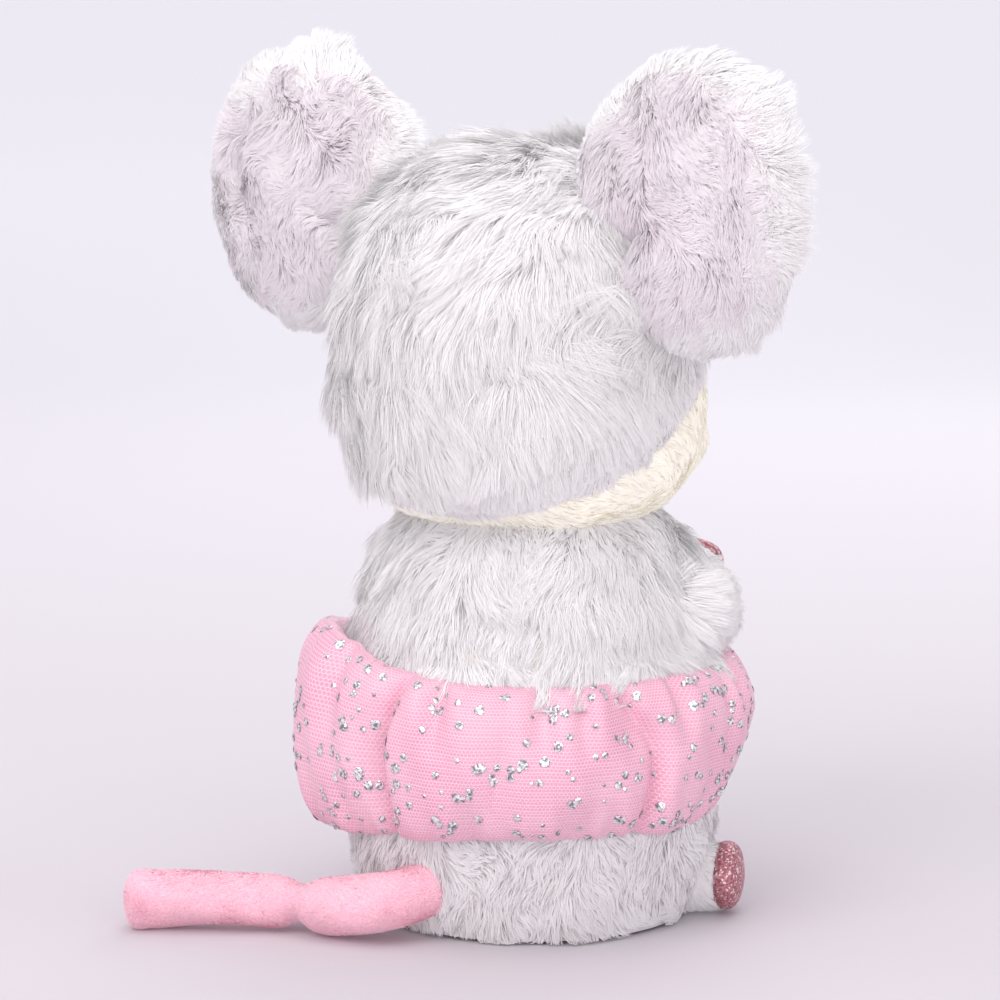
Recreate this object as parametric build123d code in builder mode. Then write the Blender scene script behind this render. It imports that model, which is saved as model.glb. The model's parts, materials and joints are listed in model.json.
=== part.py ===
from build123d import *
from math import acos, copysign, cos, hypot, pi, radians, sin, tan
import os

# A plush mouse in a gathered skirt that stands on a hard base. A clockwork motor in the base,
# wound by a key in a recess underneath, turns the head from side to side.
# Units are millimetres. The origin is on the floor below the neck shaft, +Z is up and the mouse faces -Y.

# ---- Soft parts ----
cover_thickness = 3.0     # plush fabric with its pile pressed flat
soft_play = 0.3           # gap between a soft part and its neighbour
body_radius = 46.0
body_centre_y = 0.0
body_low, body_middle, body_top = -18.0, 30.0, 91.5
body_hem = 0.4            # the hem clears the floor by this much
waist_seam = 51.0         # height of the seam between the two halves of the body cover
padding_top = 80.0
head_bottom, head_middle, head_top = 93.5, 139.0, 185.0
neck_opening = 9.0
head_radius = 45.0
head_centre_y = 4.0
cheek_centre = (0, -30, 111)
cheek_radii = (28, 24, 17.2)
ear_centre = (54, 12, 172)
ear_radii = (32, 8, 35)
ear_back_thickness = 2.4
ear_lining_thickness = 1.4
arm_radius = 9.6
arm_path = ((35, -4, 74), (33, -22, 71.8), (26, -39, 71.8), (16.5, -52, 75))
arm_pivot = (35.0, -4.0)
arm_opening = 25
paw_radius = 7.6
paw_reach = 5.5           # how far the paw's centre stands past the wrist
foot_turn = 67.0          # the feet splay this far from straight ahead, in degrees
foot_height, foot_radius = 9.2, 8.4
foot_root, foot_tip = 30.0, 49.2
sole_thickness = 1.8
tail_radius = 6.6
tail_path = ((0, 40, 12), (8, 51, 9), (24, 53, 6.8), (42, 59, 6.8), (63, 72, 6.8))
tail_pivot = (1.0, 46.0)
tail_swing = 30
skirt_levels = (23.5, 28, 42, 55, 61)
skirt_bulges = (0.8, 5.0, 8.0, 6.5, 0.0)
skirt_pleat_depths = (0.3, 1.0, 1.8, 1.4, 0.0)
skirt_pleats = 13
skirt_thickness = 0.6
eye_radius = 4.6
eye_stem_radius = 1.5
eye_height = 131.0
eye_spread = 16.0
nose_centre = (0, -54.6, 114)
nose_radii = (4.8, 3.2, 3.6)

# ---- Hard shell ----
plate_radius = 36.2
plate_thickness = 3.0
recess_at = (0.0, -16.0)  # axis of the key, the recess and the spring barrel
recess_radius = 13.5
recess_roof = 14.2
recess_wall = 2.0
housing_radius = 34.0
housing_wall = 1.6
housing_shoulder = 68.0
housing_crown_radius = 18.0
housing_top = 84.0
boss_radius = 2.7
boss_ring = 30.2
boss_top = 14.0
seam_screw_x = 24.0
seam_screw_heights = (54.0, 63.0)
bush_radius = 5.0
bush_flange_radius = 7.0
bush_low = 77.0

# ---- Clockwork ----
frame_radius = 31.0
frame_thickness = 1.2
frame_low = 17.4          # underside of the lower plate
frame_high = 39.0         # underside of the upper plate
running_play = 0.04       # radial play of a shaft in its hole
pillar_radius = 2.0
pillars_at = ((24, -15), (-24, -12), (-9, 25))
posts_at = ((25, -4), (-25, -1), (9, 25))
post_radius = 2.6
screw_radius = 0.9
screw_head_radius = 1.9
screw_head_height = 0.9
screw_play = 0.03
pressure_angle = 20.0
tooth_play = 0.06         # each tooth is thinner than half the pitch by this much
addendum_share = 0.72
dedendum_share = 0.95
wheel_teeth, pinion_leaves = 48, 12
great_module, second_module, third_module = 0.6, 0.45, 0.4
second_direction = 40.0   # angle of the second arbor as seen from the barrel
third_direction = 100.0   # angle of the third arbor as seen from the second
fly_direction = 175.0     # angle of the fly arbor as seen from the third
winding_arbor_radius = 1.75
second_arbor_radius = 1.2
thin_arbor_radius = 1.0
great_wheel_low, great_wheel_high = 20.0, 22.0
drum_radius, drum_wall, drum_top = 13.2, 0.8, 34.0
second_wheel_low, second_wheel_high = 36.0, 37.2
third_wheel_low, third_wheel_high = 28.0, 29.2
pinion_overhang = 0.5
vane_low, vane_high = 31.0, 35.2
vane_reach = 9.3
crank_low, crank_high = 41.0, 42.4
crank_radius = 8.2
crank_pin_top = 45.2
lever_low, lever_high = 45.4, 47.2
head_swing = 25.0
neck_radius = 3.0
neck_foot_radius = 1.5
neck_foot_low, neck_low, neck_high = 38.0, 41.2, 117.0
ratchet_teeth = 12
ratchet_tip, ratchet_root = 6.5, 5.3
ratchet_low, ratchet_high = 40.6, 42.0
click_stud_radius = 1.2


def centre_distance(module):
    return module * (wheel_teeth + pinion_leaves) / 2


def step_from(point, distance, direction):
    """The point at a distance from another, in a direction in degrees."""
    return (point[0] + distance * cos(radians(direction)), point[1] + distance * sin(radians(direction)))


second_at = step_from(recess_at, centre_distance(great_module), second_direction)
third_at = step_from(second_at, centre_distance(second_module), third_direction)
fly_at = step_from(third_at, centre_distance(third_module), fly_direction)
click_at = (recess_at[0] - 9.5, recess_at[1] + 8.5)
bosses_at = [step_from((0, 0), boss_ring, angle) for angle in (45, 135, 225, 315)]
crank_throw = hypot(*second_at) * sin(radians(head_swing))
os.makedirs("parts", exist_ok=True)


def keep(name, built):
    """Labels a finished piece and writes it."""
    built.part.label = name
    export_step(built.part, f"parts/{name}.step")


# ---- Shapes shared by the soft parts ----

def round_outline(radius, low, middle, high, low_power, high_power, steps=14):
    """Radius against height from pole to pole, fuller than an ellipse where a power is over 2."""
    points = []
    for i in range(steps + 1):
        turn = pi * (i / steps - 0.5)
        power = low_power if turn < 0 else high_power
        reach = middle - low if turn < 0 else high - middle
        across = radius * max(cos(turn), 0) ** (2 / power) if 0 < i < steps else 0
        points.append((across, middle + copysign(reach * abs(sin(turn)) ** (2 / power), turn)))
    return points


def turned(points, centre_y):
    """Solid of revolution of a pole-to-pole outline about a vertical axis at centre_y."""
    with BuildPart() as solid:
        with BuildSketch(Plane.XZ.offset(-centre_y)):
            with BuildLine():
                side = Spline(*points, tangents=((1, 0), (-1, 0)))
                Line(side @ 1, side @ 0)
            make_face()
        revolve(axis=Axis((0, centre_y, 0), (0, 0, 1)))
    return solid.part


def ellipsoid(centre, radii):
    with BuildPart() as solid:
        Sphere(1)
        scale(by=tuple(radii))
    return solid.part.moved(Location(centre))


def body_shape(inset):
    """The torso, full at the hips, made smaller all round by inset."""
    outline = round_outline(body_radius - inset, body_low + inset, body_middle, body_top - inset, 3, 4.2)
    return turned(outline, body_centre_y)


def head_shape(inset):
    """The round head with its cheeks, made smaller all round by inset."""
    outline = round_outline(head_radius - inset, head_bottom + inset, head_middle, head_top - inset, 4, 2.2)
    with BuildPart() as solid:
        add(turned(outline, head_centre_y))
        add(ellipsoid(cheek_centre, [r - inset for r in cheek_radii]))
    return solid.part


def swung(solid, pivot, angle):
    """A solid turned about the vertical line through pivot."""
    return solid.rotate(Axis((pivot[0], pivot[1], 0), (0, 0, 1)), angle)


def sided(point, side):
    """A point on the left of the mouse carried to the given side, -1 for the right."""
    return (side * point[0], *point[1:])


body_clear = body_shape(-soft_play)
head_clear = head_shape(-soft_play)
head_whole = head_shape(0)
head_inside = head_shape(cover_thickness)

# ---- Body cover ----

with BuildPart() as lower_cover:
    add(body_shape(0))
    add(body_shape(cover_thickness), mode=Mode.SUBTRACT)
    split(bisect_by=Plane.XY.offset(body_hem), keep=Keep.TOP)
    split(bisect_by=Plane.XY.offset(waist_seam), keep=Keep.BOTTOM)
keep("lower_cover", lower_cover)

with BuildPart() as torso_cover:
    add(body_shape(0))
    add(body_shape(cover_thickness), mode=Mode.SUBTRACT)
    split(bisect_by=Plane.XY.offset(waist_seam + soft_play), keep=Keep.TOP)
    with Locations((0, 0, body_top)):
        Cylinder(neck_opening, 4 * cover_thickness, mode=Mode.SUBTRACT)
keep("torso_cover", torso_cover)


def skirt_band(inner_gap):
    """A gathered band around the hips that stands inner_gap clear of the body."""
    with BuildPart() as band:
        for layer, mode in ((skirt_thickness, Mode.ADD), (0, Mode.SUBTRACT)):
            for level, bulge, depth in zip(skirt_levels, skirt_bulges, skirt_pleat_depths):
                outline = []
                for i in range(4 * skirt_pleats):
                    angle = 2 * pi * i / (4 * skirt_pleats)
                    pleat = depth * sin(skirt_pleats * angle)
                    radius = body_radius + soft_play + inner_gap + bulge + pleat + layer
                    outline.append((radius * cos(angle), body_centre_y + radius * sin(angle)))
                with BuildSketch(Plane.XY.offset(level)):
                    with BuildLine():
                        Spline(*outline, periodic=True)
                    make_face()
            loft(mode=mode)
    return band


keep("skirt_satin", skirt_band(0))
keep("skirt_tulle", skirt_band(skirt_thickness + soft_play))

# ---- Head ----

# The seam between the back of the head and the face runs from the nape up to the brow.
face_seam = Plane(origin=(0, 19.4, 104.6), x_dir=(1, 0, 0), z_dir=(0, -0.503, -0.864))
eye_side_y = head_centre_y - (head_radius**2 - eye_spread**2) ** 0.5
eye_planes = [
    Plane(
        origin=(side * eye_spread, eye_side_y, eye_height),
        x_dir=(0, 0, 1),
        z_dir=(side * eye_spread, eye_side_y - head_centre_y, 0),
    )
    for side in (-1, 1)
]

with BuildPart() as head_cover:
    add(head_whole)
    add(head_inside, mode=Mode.SUBTRACT)
    split(bisect_by=face_seam, keep=Keep.BOTTOM)
    with Locations((0, 0, head_bottom)):
        Cylinder(neck_opening, 4 * cover_thickness, mode=Mode.SUBTRACT)
keep("head_cover", head_cover)

with BuildPart() as face_panel:
    add(head_whole)
    add(head_inside, mode=Mode.SUBTRACT)
    split(bisect_by=face_seam.offset(0.05), keep=Keep.TOP)
    with Locations((0, 0, head_bottom)):
        Cylinder(neck_opening, 4 * cover_thickness, mode=Mode.SUBTRACT)
    for plane in eye_planes:
        with BuildSketch(plane.offset(-2 * cover_thickness)):
            Circle(eye_stem_radius + 0.1)
        extrude(amount=3 * cover_thickness, mode=Mode.SUBTRACT)
keep("face_panel", face_panel)

former_low, former_disc_low, former_disc_high, former_high = 97.4, 101.0, 102.6, 117.0
former_disc_radius = 20.0
former_hub_radius = 5.5
with BuildPart() as head_former:
    with BuildSketch(Plane.XY.offset(former_low)):
        Circle(former_hub_radius)
    extrude(amount=former_high - former_low)
    with BuildSketch(Plane.XY.offset(former_disc_low)):
        Circle(former_disc_radius)
        with PolarLocations(13.5, 4, start_angle=45):
            Circle(4, mode=Mode.SUBTRACT)
    extrude(amount=former_disc_high - former_disc_low)
    for rib in (0, 90):
        with BuildSketch(Plane.XY.offset(former_disc_low)):
            Rectangle(2 * former_disc_radius - 2, 1.6, rotation=rib)
        extrude(amount=8)
    with BuildSketch(Plane.XY.offset(former_low)):
        Circle(neck_radius)
    extrude(amount=former_high - former_low, mode=Mode.SUBTRACT)
keep("head_former", head_former)

with BuildPart() as head_stuffing:
    add(head_shape(cover_thickness + soft_play))
    with BuildSketch(Plane.XY.offset(head_bottom)):
        Circle(former_disc_radius + 1)
    extrude(amount=former_high + 1 - head_bottom, mode=Mode.SUBTRACT)
    for plane in eye_planes:
        with BuildSketch(plane.offset(-8)):
            Circle(eye_radius + 0.6)
        extrude(amount=8, mode=Mode.SUBTRACT)
keep("head_stuffing", head_stuffing)

with BuildPart() as eyes:
    for plane in eye_planes:
        with Locations(plane.offset(-1.2)):
            Sphere(eye_radius)
        with BuildSketch(plane.offset(-eye_radius - 2)):
            Circle(eye_radius + 2)
        extrude(amount=eye_radius + 2.4, mode=Mode.SUBTRACT)
    for plane in eye_planes:
        with BuildSketch(plane.offset(-6.5)):
            Circle(eye_stem_radius)
        extrude(amount=8)
keep("eyes", eyes)

with BuildPart() as eye_washers:
    for plane in eye_planes:
        with BuildSketch(plane.offset(-4.5)):
            Circle(eye_radius)
            Circle(eye_stem_radius, mode=Mode.SUBTRACT)
        extrude(amount=1)
keep("eye_washers", eye_washers)

with BuildPart() as nose:
    add(ellipsoid(nose_centre, nose_radii))
    add(head_clear, mode=Mode.SUBTRACT)
keep("nose", nose)

for name, side in (("left", 1), ("right", -1)):
    centre = sided(ear_centre, side)
    back_plane = Plane(origin=centre, x_dir=(1, 0, 0), z_dir=(0, 1, 0))
    with BuildPart() as ear:
        add(ellipsoid(centre, ear_radii))
        add(ellipsoid(centre, [r - ear_back_thickness for r in ear_radii]), mode=Mode.SUBTRACT)
        split(bisect_by=back_plane, keep=Keep.TOP)
        add(head_clear, mode=Mode.SUBTRACT)
    keep(f"{name}_ear", ear)
    lining_gap = ear_back_thickness + 0.2
    with BuildPart() as ear_lining:
        add(ellipsoid(centre, [r - lining_gap for r in ear_radii]))
        add(
            ellipsoid(centre, [r - lining_gap - ear_lining_thickness for r in ear_radii]),
            mode=Mode.SUBTRACT,
        )
        split(bisect_by=back_plane, keep=Keep.TOP)
        add(head_clear, mode=Mode.SUBTRACT)
    keep(f"{name}_ear_lining", ear_lining)

# ---- Arms, feet and tail ----

for name, side in (("left", 1), ("right", -1)):
    path_points = [sided(point, side) for point in arm_path]
    with BuildPart() as arm:
        with BuildLine() as arm_line:
            arm_curve = Spline(*path_points)
        with BuildSketch(Plane(origin=arm_curve @ 0, z_dir=arm_curve % 0)):
            Circle(arm_radius)
        sweep(path=arm_curve)
        for angle in range(0, arm_opening + 1, 5):
            pivot = sided(arm_pivot, side)
            add(swung(body_clear, pivot, -side * angle), mode=Mode.SUBTRACT)
    keep(f"{name}_arm", arm)
    wrist = Plane(origin=arm_curve @ 1, z_dir=arm_curve % 1)
    with BuildPart() as paw:
        with BuildSketch(Plane(origin=wrist.origin, x_dir=wrist.z_dir, z_dir=wrist.x_dir)):
            with BuildLine():
                wrist_edge = (paw_radius**2 - (paw_reach - soft_play) ** 2) ** 0.5
                rim = ThreePointArc(
                    (soft_play, wrist_edge), (paw_reach, paw_radius), (paw_reach + paw_radius, 0)
                )
                Polyline(rim @ 1, (soft_play, 0), rim @ 0)
            make_face()
        revolve(axis=Axis(wrist.origin, wrist.z_dir))
    keep(f"{name}_paw", paw)
    foot_way = (side * sin(radians(foot_turn)), -cos(radians(foot_turn)), 0)
    foot_plane = Plane(origin=(0, 0, foot_height), x_dir=(0, 0, 1), z_dir=foot_way)
    with BuildPart() as foot:
        with BuildSketch(foot_plane.offset(foot_root)):
            Circle(foot_radius)
        extrude(amount=foot_tip - foot_root)
        add(body_clear, mode=Mode.SUBTRACT)
    keep(f"{name}_foot", foot)
    with BuildPart() as sole:
        with BuildSketch(foot_plane.offset(foot_tip + 0.1)):
            Circle(foot_radius)
        extrude(amount=sole_thickness)
        fillet(sole.edges().sort_by(Axis(foot_plane.origin, foot_plane.z_dir))[-1], 0.8)
    keep(f"{name}_sole", sole)

with BuildPart() as tail:
    with BuildLine() as tail_line:
        tail_curve = Spline(*tail_path)
    with BuildSketch(Plane(origin=tail_curve @ 0, z_dir=tail_curve % 0)):
        Circle(tail_radius)
    sweep(path=tail_curve)
    with Locations(tail_path[-1]):
        Sphere(tail_radius)
    for angle in range(-tail_swing, tail_swing + 1, 6):
        add(swung(body_clear, tail_pivot, angle), mode=Mode.SUBTRACT)
keep("tail", tail)

# ---- Base and housing ----

with BuildPart() as base_plate:
    with BuildSketch():
        Circle(plate_radius)
    extrude(amount=plate_thickness)
    with BuildSketch():
        with Locations(recess_at):
            Circle(recess_radius + recess_wall)
    extrude(amount=recess_roof + recess_wall)
    with BuildSketch():
        with Locations(recess_at):
            Circle(recess_radius)
    extrude(amount=recess_roof, mode=Mode.SUBTRACT)
    with BuildSketch(Plane.XY.offset(recess_roof)):
        with Locations(recess_at):
            Circle(winding_arbor_radius + 0.6)
    extrude(amount=recess_wall, mode=Mode.SUBTRACT)
    with BuildSketch(Plane.XY.offset(plate_thickness)):
        with Locations(*posts_at):
            Circle(post_radius)
    extrude(amount=frame_low - plate_thickness)
    with BuildSketch(Plane.XY.offset(frame_low)):
        with Locations(*posts_at):
            Circle(screw_radius + screw_play)
    extrude(amount=-7, mode=Mode.SUBTRACT)
    with BuildSketch():
        with Locations(*bosses_at):
            Circle(screw_radius + 0.2)
    extrude(amount=plate_thickness, mode=Mode.SUBTRACT)
    with BuildSketch():
        with Locations(*bosses_at):
            Circle(screw_head_radius + 0.3)
    extrude(amount=1.4, mode=Mode.SUBTRACT)
    fillet(base_plate.faces().sort_by(Axis.Z)[0].outer_wire().edges(), 0.8)
keep("base_plate", base_plate)


def screw(head_at, head_direction, length):
    """A cross-head screw with its head face at head_at, the head pointing along head_direction."""
    with BuildPart() as one:
        with BuildSketch(Plane(origin=head_at, z_dir=head_direction)):
            Circle(screw_head_radius)
        extrude(amount=-screw_head_height)
        with BuildSketch(Plane(origin=head_at, z_dir=head_direction)):
            Rectangle(2.2, 0.45)
            Rectangle(0.45, 2.2)
        extrude(amount=-0.5, mode=Mode.SUBTRACT)
        with BuildSketch(Plane(origin=head_at, z_dir=head_direction).offset(-screw_head_height)):
            Circle(screw_radius)
        extrude(amount=-length)
    return one.part


with BuildPart() as base_screws:
    for x, y in bosses_at:
        add(screw((x, y, 0.5), (0, 0, -1), 9))
keep("base_screws", base_screws)


def housing_profile(inset):
    """Half section of the housing, made smaller all round by inset."""
    shoulder = housing_shoulder - 0.4 * inset
    return (
        (0, plate_thickness),
        (housing_radius - inset, plate_thickness),
        (housing_radius - inset, shoulder),
        (housing_crown_radius - inset, housing_top - inset),
        (0, housing_top - inset),
    )


with BuildPart() as housing:
    with BuildSketch(Plane.XZ):
        with BuildLine():
            Polyline(*housing_profile(0), close=True)
        make_face()
    revolve(axis=Axis.Z)
    with BuildSketch(Plane.XZ):
        with BuildLine():
            Polyline(*housing_profile(housing_wall), close=True)
        make_face()
    revolve(axis=Axis.Z, mode=Mode.SUBTRACT)
    with BuildSketch(Plane.XY.offset(plate_thickness)):
        with Locations(*bosses_at):
            Circle(boss_radius)
    extrude(amount=boss_top - plate_thickness)
    with BuildSketch(Plane.XY.offset(plate_thickness)):
        with Locations(*bosses_at):
            Circle(screw_radius + screw_play)
    extrude(amount=8.5, mode=Mode.SUBTRACT)
    with BuildSketch(Plane.XY.offset(bush_low)):
        Circle(bush_radius + 3)
    extrude(amount=housing_top - housing_wall - bush_low)
    for height in seam_screw_heights:
        for side in (-1, 1):
            wall_y = ((housing_radius - housing_wall / 2) ** 2 - (seam_screw_x + boss_radius) ** 2) ** 0.5
            with BuildSketch(Plane.XZ.offset(wall_y)):
                with Locations((side * seam_screw_x, height)):
                    Circle(boss_radius)
            extrude(amount=-2 * wall_y)
            with BuildSketch(Plane.XZ.offset(7)):
                with Locations((side * seam_screw_x, height)):
                    Circle(screw_radius + screw_play)
            extrude(amount=-12, mode=Mode.SUBTRACT)
            with BuildSketch(Plane.XZ.offset(-4)):
                with Locations((side * seam_screw_x, height)):
                    Circle(screw_head_radius + 0.2)
            extrude(amount=-housing_radius, mode=Mode.SUBTRACT)
    with BuildSketch(Plane.XY.offset(bush_low)):
        Circle(bush_radius)
    extrude(amount=housing_top, mode=Mode.SUBTRACT)

with BuildPart() as housing_front:
    add(housing.part)
    split(bisect_by=Plane.XZ, keep=Keep.TOP)
keep("housing_front", housing_front)

with BuildPart() as housing_back:
    add(housing.part)
    split(bisect_by=Plane.XZ, keep=Keep.BOTTOM)
keep("housing_back", housing_back)

with BuildPart() as seam_screws:
    for height in seam_screw_heights:
        for side in (-1, 1):
            add(screw((side * seam_screw_x, 4 + screw_head_height, height), (0, 1, 0), 10.5))
keep("seam_screws", seam_screws)

with BuildPart() as neck_bush:
    with BuildSketch(Plane.XY.offset(bush_low)):
        Circle(bush_radius)
    extrude(amount=housing_top - bush_low)
    with BuildSketch(Plane.XY.offset(housing_top)):
        Circle(bush_flange_radius)
    extrude(amount=1.2)
    with BuildSketch(Plane.XY.offset(bush_low)):
        Circle(neck_radius + running_play)
    extrude(amount=housing_top, mode=Mode.SUBTRACT)
keep("neck_bush", neck_bush)

with BuildPart() as body_padding:
    add(body_shape(cover_thickness + soft_play))
    split(bisect_by=Plane.XY.offset(plate_thickness + soft_play), keep=Keep.TOP)
    split(bisect_by=Plane.XY.offset(padding_top), keep=Keep.BOTTOM)
    with BuildSketch(Plane.XZ):
        with BuildLine():
            Polyline(*housing_profile(-soft_play), close=True)
        make_face()
    revolve(axis=Axis.Z, mode=Mode.SUBTRACT)
keep("body_padding", body_padding)

# ---- Movement frame ----

running_holes = (
    (recess_at, winding_arbor_radius + running_play),
    (second_at, second_arbor_radius + running_play),
    (third_at, thin_arbor_radius + running_play),
    (fly_at, thin_arbor_radius + running_play),
)

with BuildPart() as frame_plate_low:
    with BuildSketch(Plane.XY.offset(frame_low)):
        Circle(frame_radius)
        with Locations(*pillars_at, *posts_at):
            Circle(screw_radius + screw_play, mode=Mode.SUBTRACT)
        for place, radius in running_holes:
            with Locations(place):
                Circle(radius, mode=Mode.SUBTRACT)
    extrude(amount=frame_thickness)
keep("frame_plate_low", frame_plate_low)

with BuildPart() as frame_plate_high:
    with BuildSketch(Plane.XY.offset(frame_high)):
        Circle(frame_radius)
        with Locations(*pillars_at):
            Circle(screw_radius + screw_play, mode=Mode.SUBTRACT)
        for place, radius in running_holes:
            with Locations(place):
                Circle(radius, mode=Mode.SUBTRACT)
        Circle(neck_foot_radius + running_play, mode=Mode.SUBTRACT)
        with Locations(click_at):
            Circle(screw_radius, mode=Mode.SUBTRACT)
        with Locations((-16, 12)):
            SlotOverall(16, 8, rotation=60, mode=Mode.SUBTRACT)
    extrude(amount=frame_thickness)
keep("frame_plate_high", frame_plate_high)

pillar_low = frame_low + frame_thickness
with BuildPart() as frame_pillars:
    with BuildSketch(Plane.XY.offset(pillar_low)):
        with Locations(*pillars_at):
            Circle(pillar_radius)
            Circle(screw_radius + screw_play, mode=Mode.SUBTRACT)
    extrude(amount=frame_high - pillar_low)
keep("frame_pillars", frame_pillars)

with BuildPart() as frame_screws:
    for x, y in pillars_at:
        add(screw((x, y, frame_high + frame_thickness + screw_head_height), (0, 0, 1), 6))
        add(screw((x, y, frame_low - screw_head_height), (0, 0, -1), 6))
keep("frame_screws", frame_screws)

with BuildPart() as movement_screws:
    for x, y in posts_at:
        add(screw((x, y, pillar_low + screw_head_height), (0, 0, 1), 6))
keep("movement_screws", movement_screws)

# ---- Wheels ----

def gear_outline(teeth, module, turn):
    """Involute gear outline whose first tooth points in the direction turn, in degrees."""
    pitch = module * teeth / 2
    base = pitch * cos(radians(pressure_angle))
    tip = pitch + addendum_share * module
    root = pitch - dedendum_share * module
    rolled = tan(radians(pressure_angle)) - radians(pressure_angle)
    half_tooth = (pi * module / 2 - tooth_play) / (2 * pitch)
    flank = []
    for step in range(4):
        radius = max(base, root) + (tip - max(base, root)) * step / 3
        slope = acos(min(base / radius, 1))
        flank.append((radius, half_tooth + rolled - (tan(slope) - slope)))
    if root < base:
        flank.insert(0, (root, flank[0][1]))
    points = []
    for tooth in range(teeth):
        middle = radians(turn) + 2 * pi * tooth / teeth
        for radius, half in flank:
            points.append((radius * cos(middle - half), radius * sin(middle - half)))
        for radius, half in reversed(flank):
            points.append((radius * cos(middle + half), radius * sin(middle + half)))
    return points


def gear(place, teeth, module, turn, low, high, bore):
    """A toothed wheel or pinion standing at place between two heights."""
    with BuildPart() as wheel:
        with BuildSketch(Plane.XY.offset(low)):
            with BuildLine():
                Polyline(*gear_outline(teeth, module, turn), close=True)
            make_face()
            if bore:
                Circle(bore, mode=Mode.SUBTRACT)
        extrude(amount=high - low)
    return wheel.part.moved(Location((*place, 0)))


def gap_facing(direction, leaves):
    """The turn that puts a pinion's gap, not a leaf, opposite to direction."""
    return direction + 180 + 180 / leaves


# Each wheel has a tooth on the line of centres, where the next pinion has a gap.
great_turn = second_direction
second_pinion_turn = gap_facing(second_direction, pinion_leaves)
second_wheel_turn = third_direction
third_pinion_turn = gap_facing(third_direction, pinion_leaves)
third_wheel_turn = fly_direction
fly_pinion_turn = gap_facing(fly_direction, pinion_leaves)

with BuildPart() as spring_barrel:
    add(gear(
        recess_at, wheel_teeth, great_module, great_turn, great_wheel_low, great_wheel_high,
        winding_arbor_radius + running_play,
    ))
    with BuildSketch(Plane.XY.offset(great_wheel_high)):
        with Locations(recess_at):
            Circle(drum_radius)
            Circle(drum_radius - drum_wall, mode=Mode.SUBTRACT)
    extrude(amount=drum_top - great_wheel_high)
keep("spring_barrel", spring_barrel)

cover_low = drum_top - 1.0
with BuildPart() as barrel_cover:
    with BuildSketch(Plane.XY.offset(cover_low)):
        with Locations(recess_at):
            Circle(drum_radius - drum_wall)
            Circle(winding_arbor_radius + running_play, mode=Mode.SUBTRACT)
            with Locations((7, 0)):
                Rectangle(2.4, 1.4, mode=Mode.SUBTRACT)
    extrude(amount=drum_top - cover_low)
keep("barrel_cover", barrel_cover)

spring_inner, spring_outer, spring_turns, spring_strip = 3.9, 12.2, 6, 0.4


def spiral(offset):
    """Points along the mainspring, offset from its inner face."""
    steps = 12 * spring_turns
    found = []
    for i in range(steps + 1):
        radius = spring_inner + (spring_outer - spring_strip - spring_inner) * i / steps + offset
        angle = 2 * pi * i / 12
        found.append((radius * cos(angle), radius * sin(angle)))
    return found


with BuildPart() as mainspring:
    with BuildSketch(Plane(origin=(*recess_at, great_wheel_high + 0.4))):
        with BuildLine():
            inner_face = Spline(*spiral(0))
            outer_face = Spline(*spiral(spring_strip))
            Line(inner_face @ 0, outer_face @ 0)
            Line(inner_face @ 1, outer_face @ 1)
        make_face()
    extrude(amount=cover_low - great_wheel_high - 0.8)
keep("mainspring", mainspring)

arbor_core_radius = 3.5
with BuildPart() as winding_arbor:
    with BuildSketch(Plane.XY.offset(5)):
        with Locations(recess_at):
            Circle(winding_arbor_radius)
    extrude(amount=ratchet_high + 1 - 5)
    with BuildSketch(Plane.XY.offset(great_wheel_high + 0.3)):
        with Locations(recess_at):
            Circle(arbor_core_radius)
    extrude(amount=cover_low - great_wheel_high - 0.6)
keep("winding_arbor", winding_arbor)

key_thickness = 2.2
with BuildPart() as winding_key:
    with BuildSketch(Plane.XY.offset(1)):
        with Locations(recess_at):
            Circle(3)
    extrude(amount=12)
    with BuildSketch(Plane.XZ.offset(-recess_at[1] - key_thickness / 2)):
        with Locations((-6.3, 6.2), (6.3, 6.2)):
            Circle(5)
        with Locations((0, 6.2)):
            Rectangle(8, 5)
        with Locations((-7, 6.2), (7, 6.2)):
            Circle(2, mode=Mode.SUBTRACT)
    extrude(amount=key_thickness)
    with BuildSketch(Plane.XY.offset(5)):
        with Locations(recess_at):
            Circle(winding_arbor_radius)
    extrude(amount=9, mode=Mode.SUBTRACT)
keep("winding_key", winding_key)

ratchet_points = []
for tooth in range(ratchet_teeth):
    for radius in (ratchet_root, ratchet_tip):
        ratchet_points.append(step_from((0, 0), radius, 360 * tooth / ratchet_teeth))
with BuildPart() as ratchet_wheel:
    with BuildSketch(Plane(origin=(*recess_at, ratchet_low))):
        with BuildLine():
            Polyline(*ratchet_points, close=True)
        make_face()
        Circle(winding_arbor_radius, mode=Mode.SUBTRACT)
    extrude(amount=ratchet_high - ratchet_low)
keep("ratchet_wheel", ratchet_wheel)

# The click's nose stands in the gap just short of the ratchet tooth that points to -X.
with BuildPart() as click:
    with BuildSketch(Plane.XY.offset(ratchet_low)):
        with BuildLine():
            Polyline(
                step_from(recess_at, 5.55, 172),
                step_from(recess_at, 6.3, 163),
                step_from(recess_at, 7.3, 155),
                (click_at[0] + 1.6, click_at[1] - 1.2),
                (click_at[0] - 1.6, click_at[1] - 1.2),
                step_from(recess_at, 7.5, 172),
                close=True,
            )
        make_face()
        with Locations(click_at):
            Circle(2.4)
            Circle(click_stud_radius + running_play, mode=Mode.SUBTRACT)
    extrude(amount=ratchet_high - ratchet_low)
keep("click", click)

with BuildPart() as click_spring:
    with BuildSketch(Plane.XY.offset(ratchet_high + 0.1)):
        with Locations(click_at):
            Circle(2.3)
        with Locations((click_at[0] + 1.5, click_at[1] - 2.6)):
            Rectangle(0.5, 5.2, rotation=18)
        with Locations(click_at):
            Circle(1.6, mode=Mode.SUBTRACT)
    extrude(amount=0.6)
keep("click_spring", click_spring)

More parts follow.
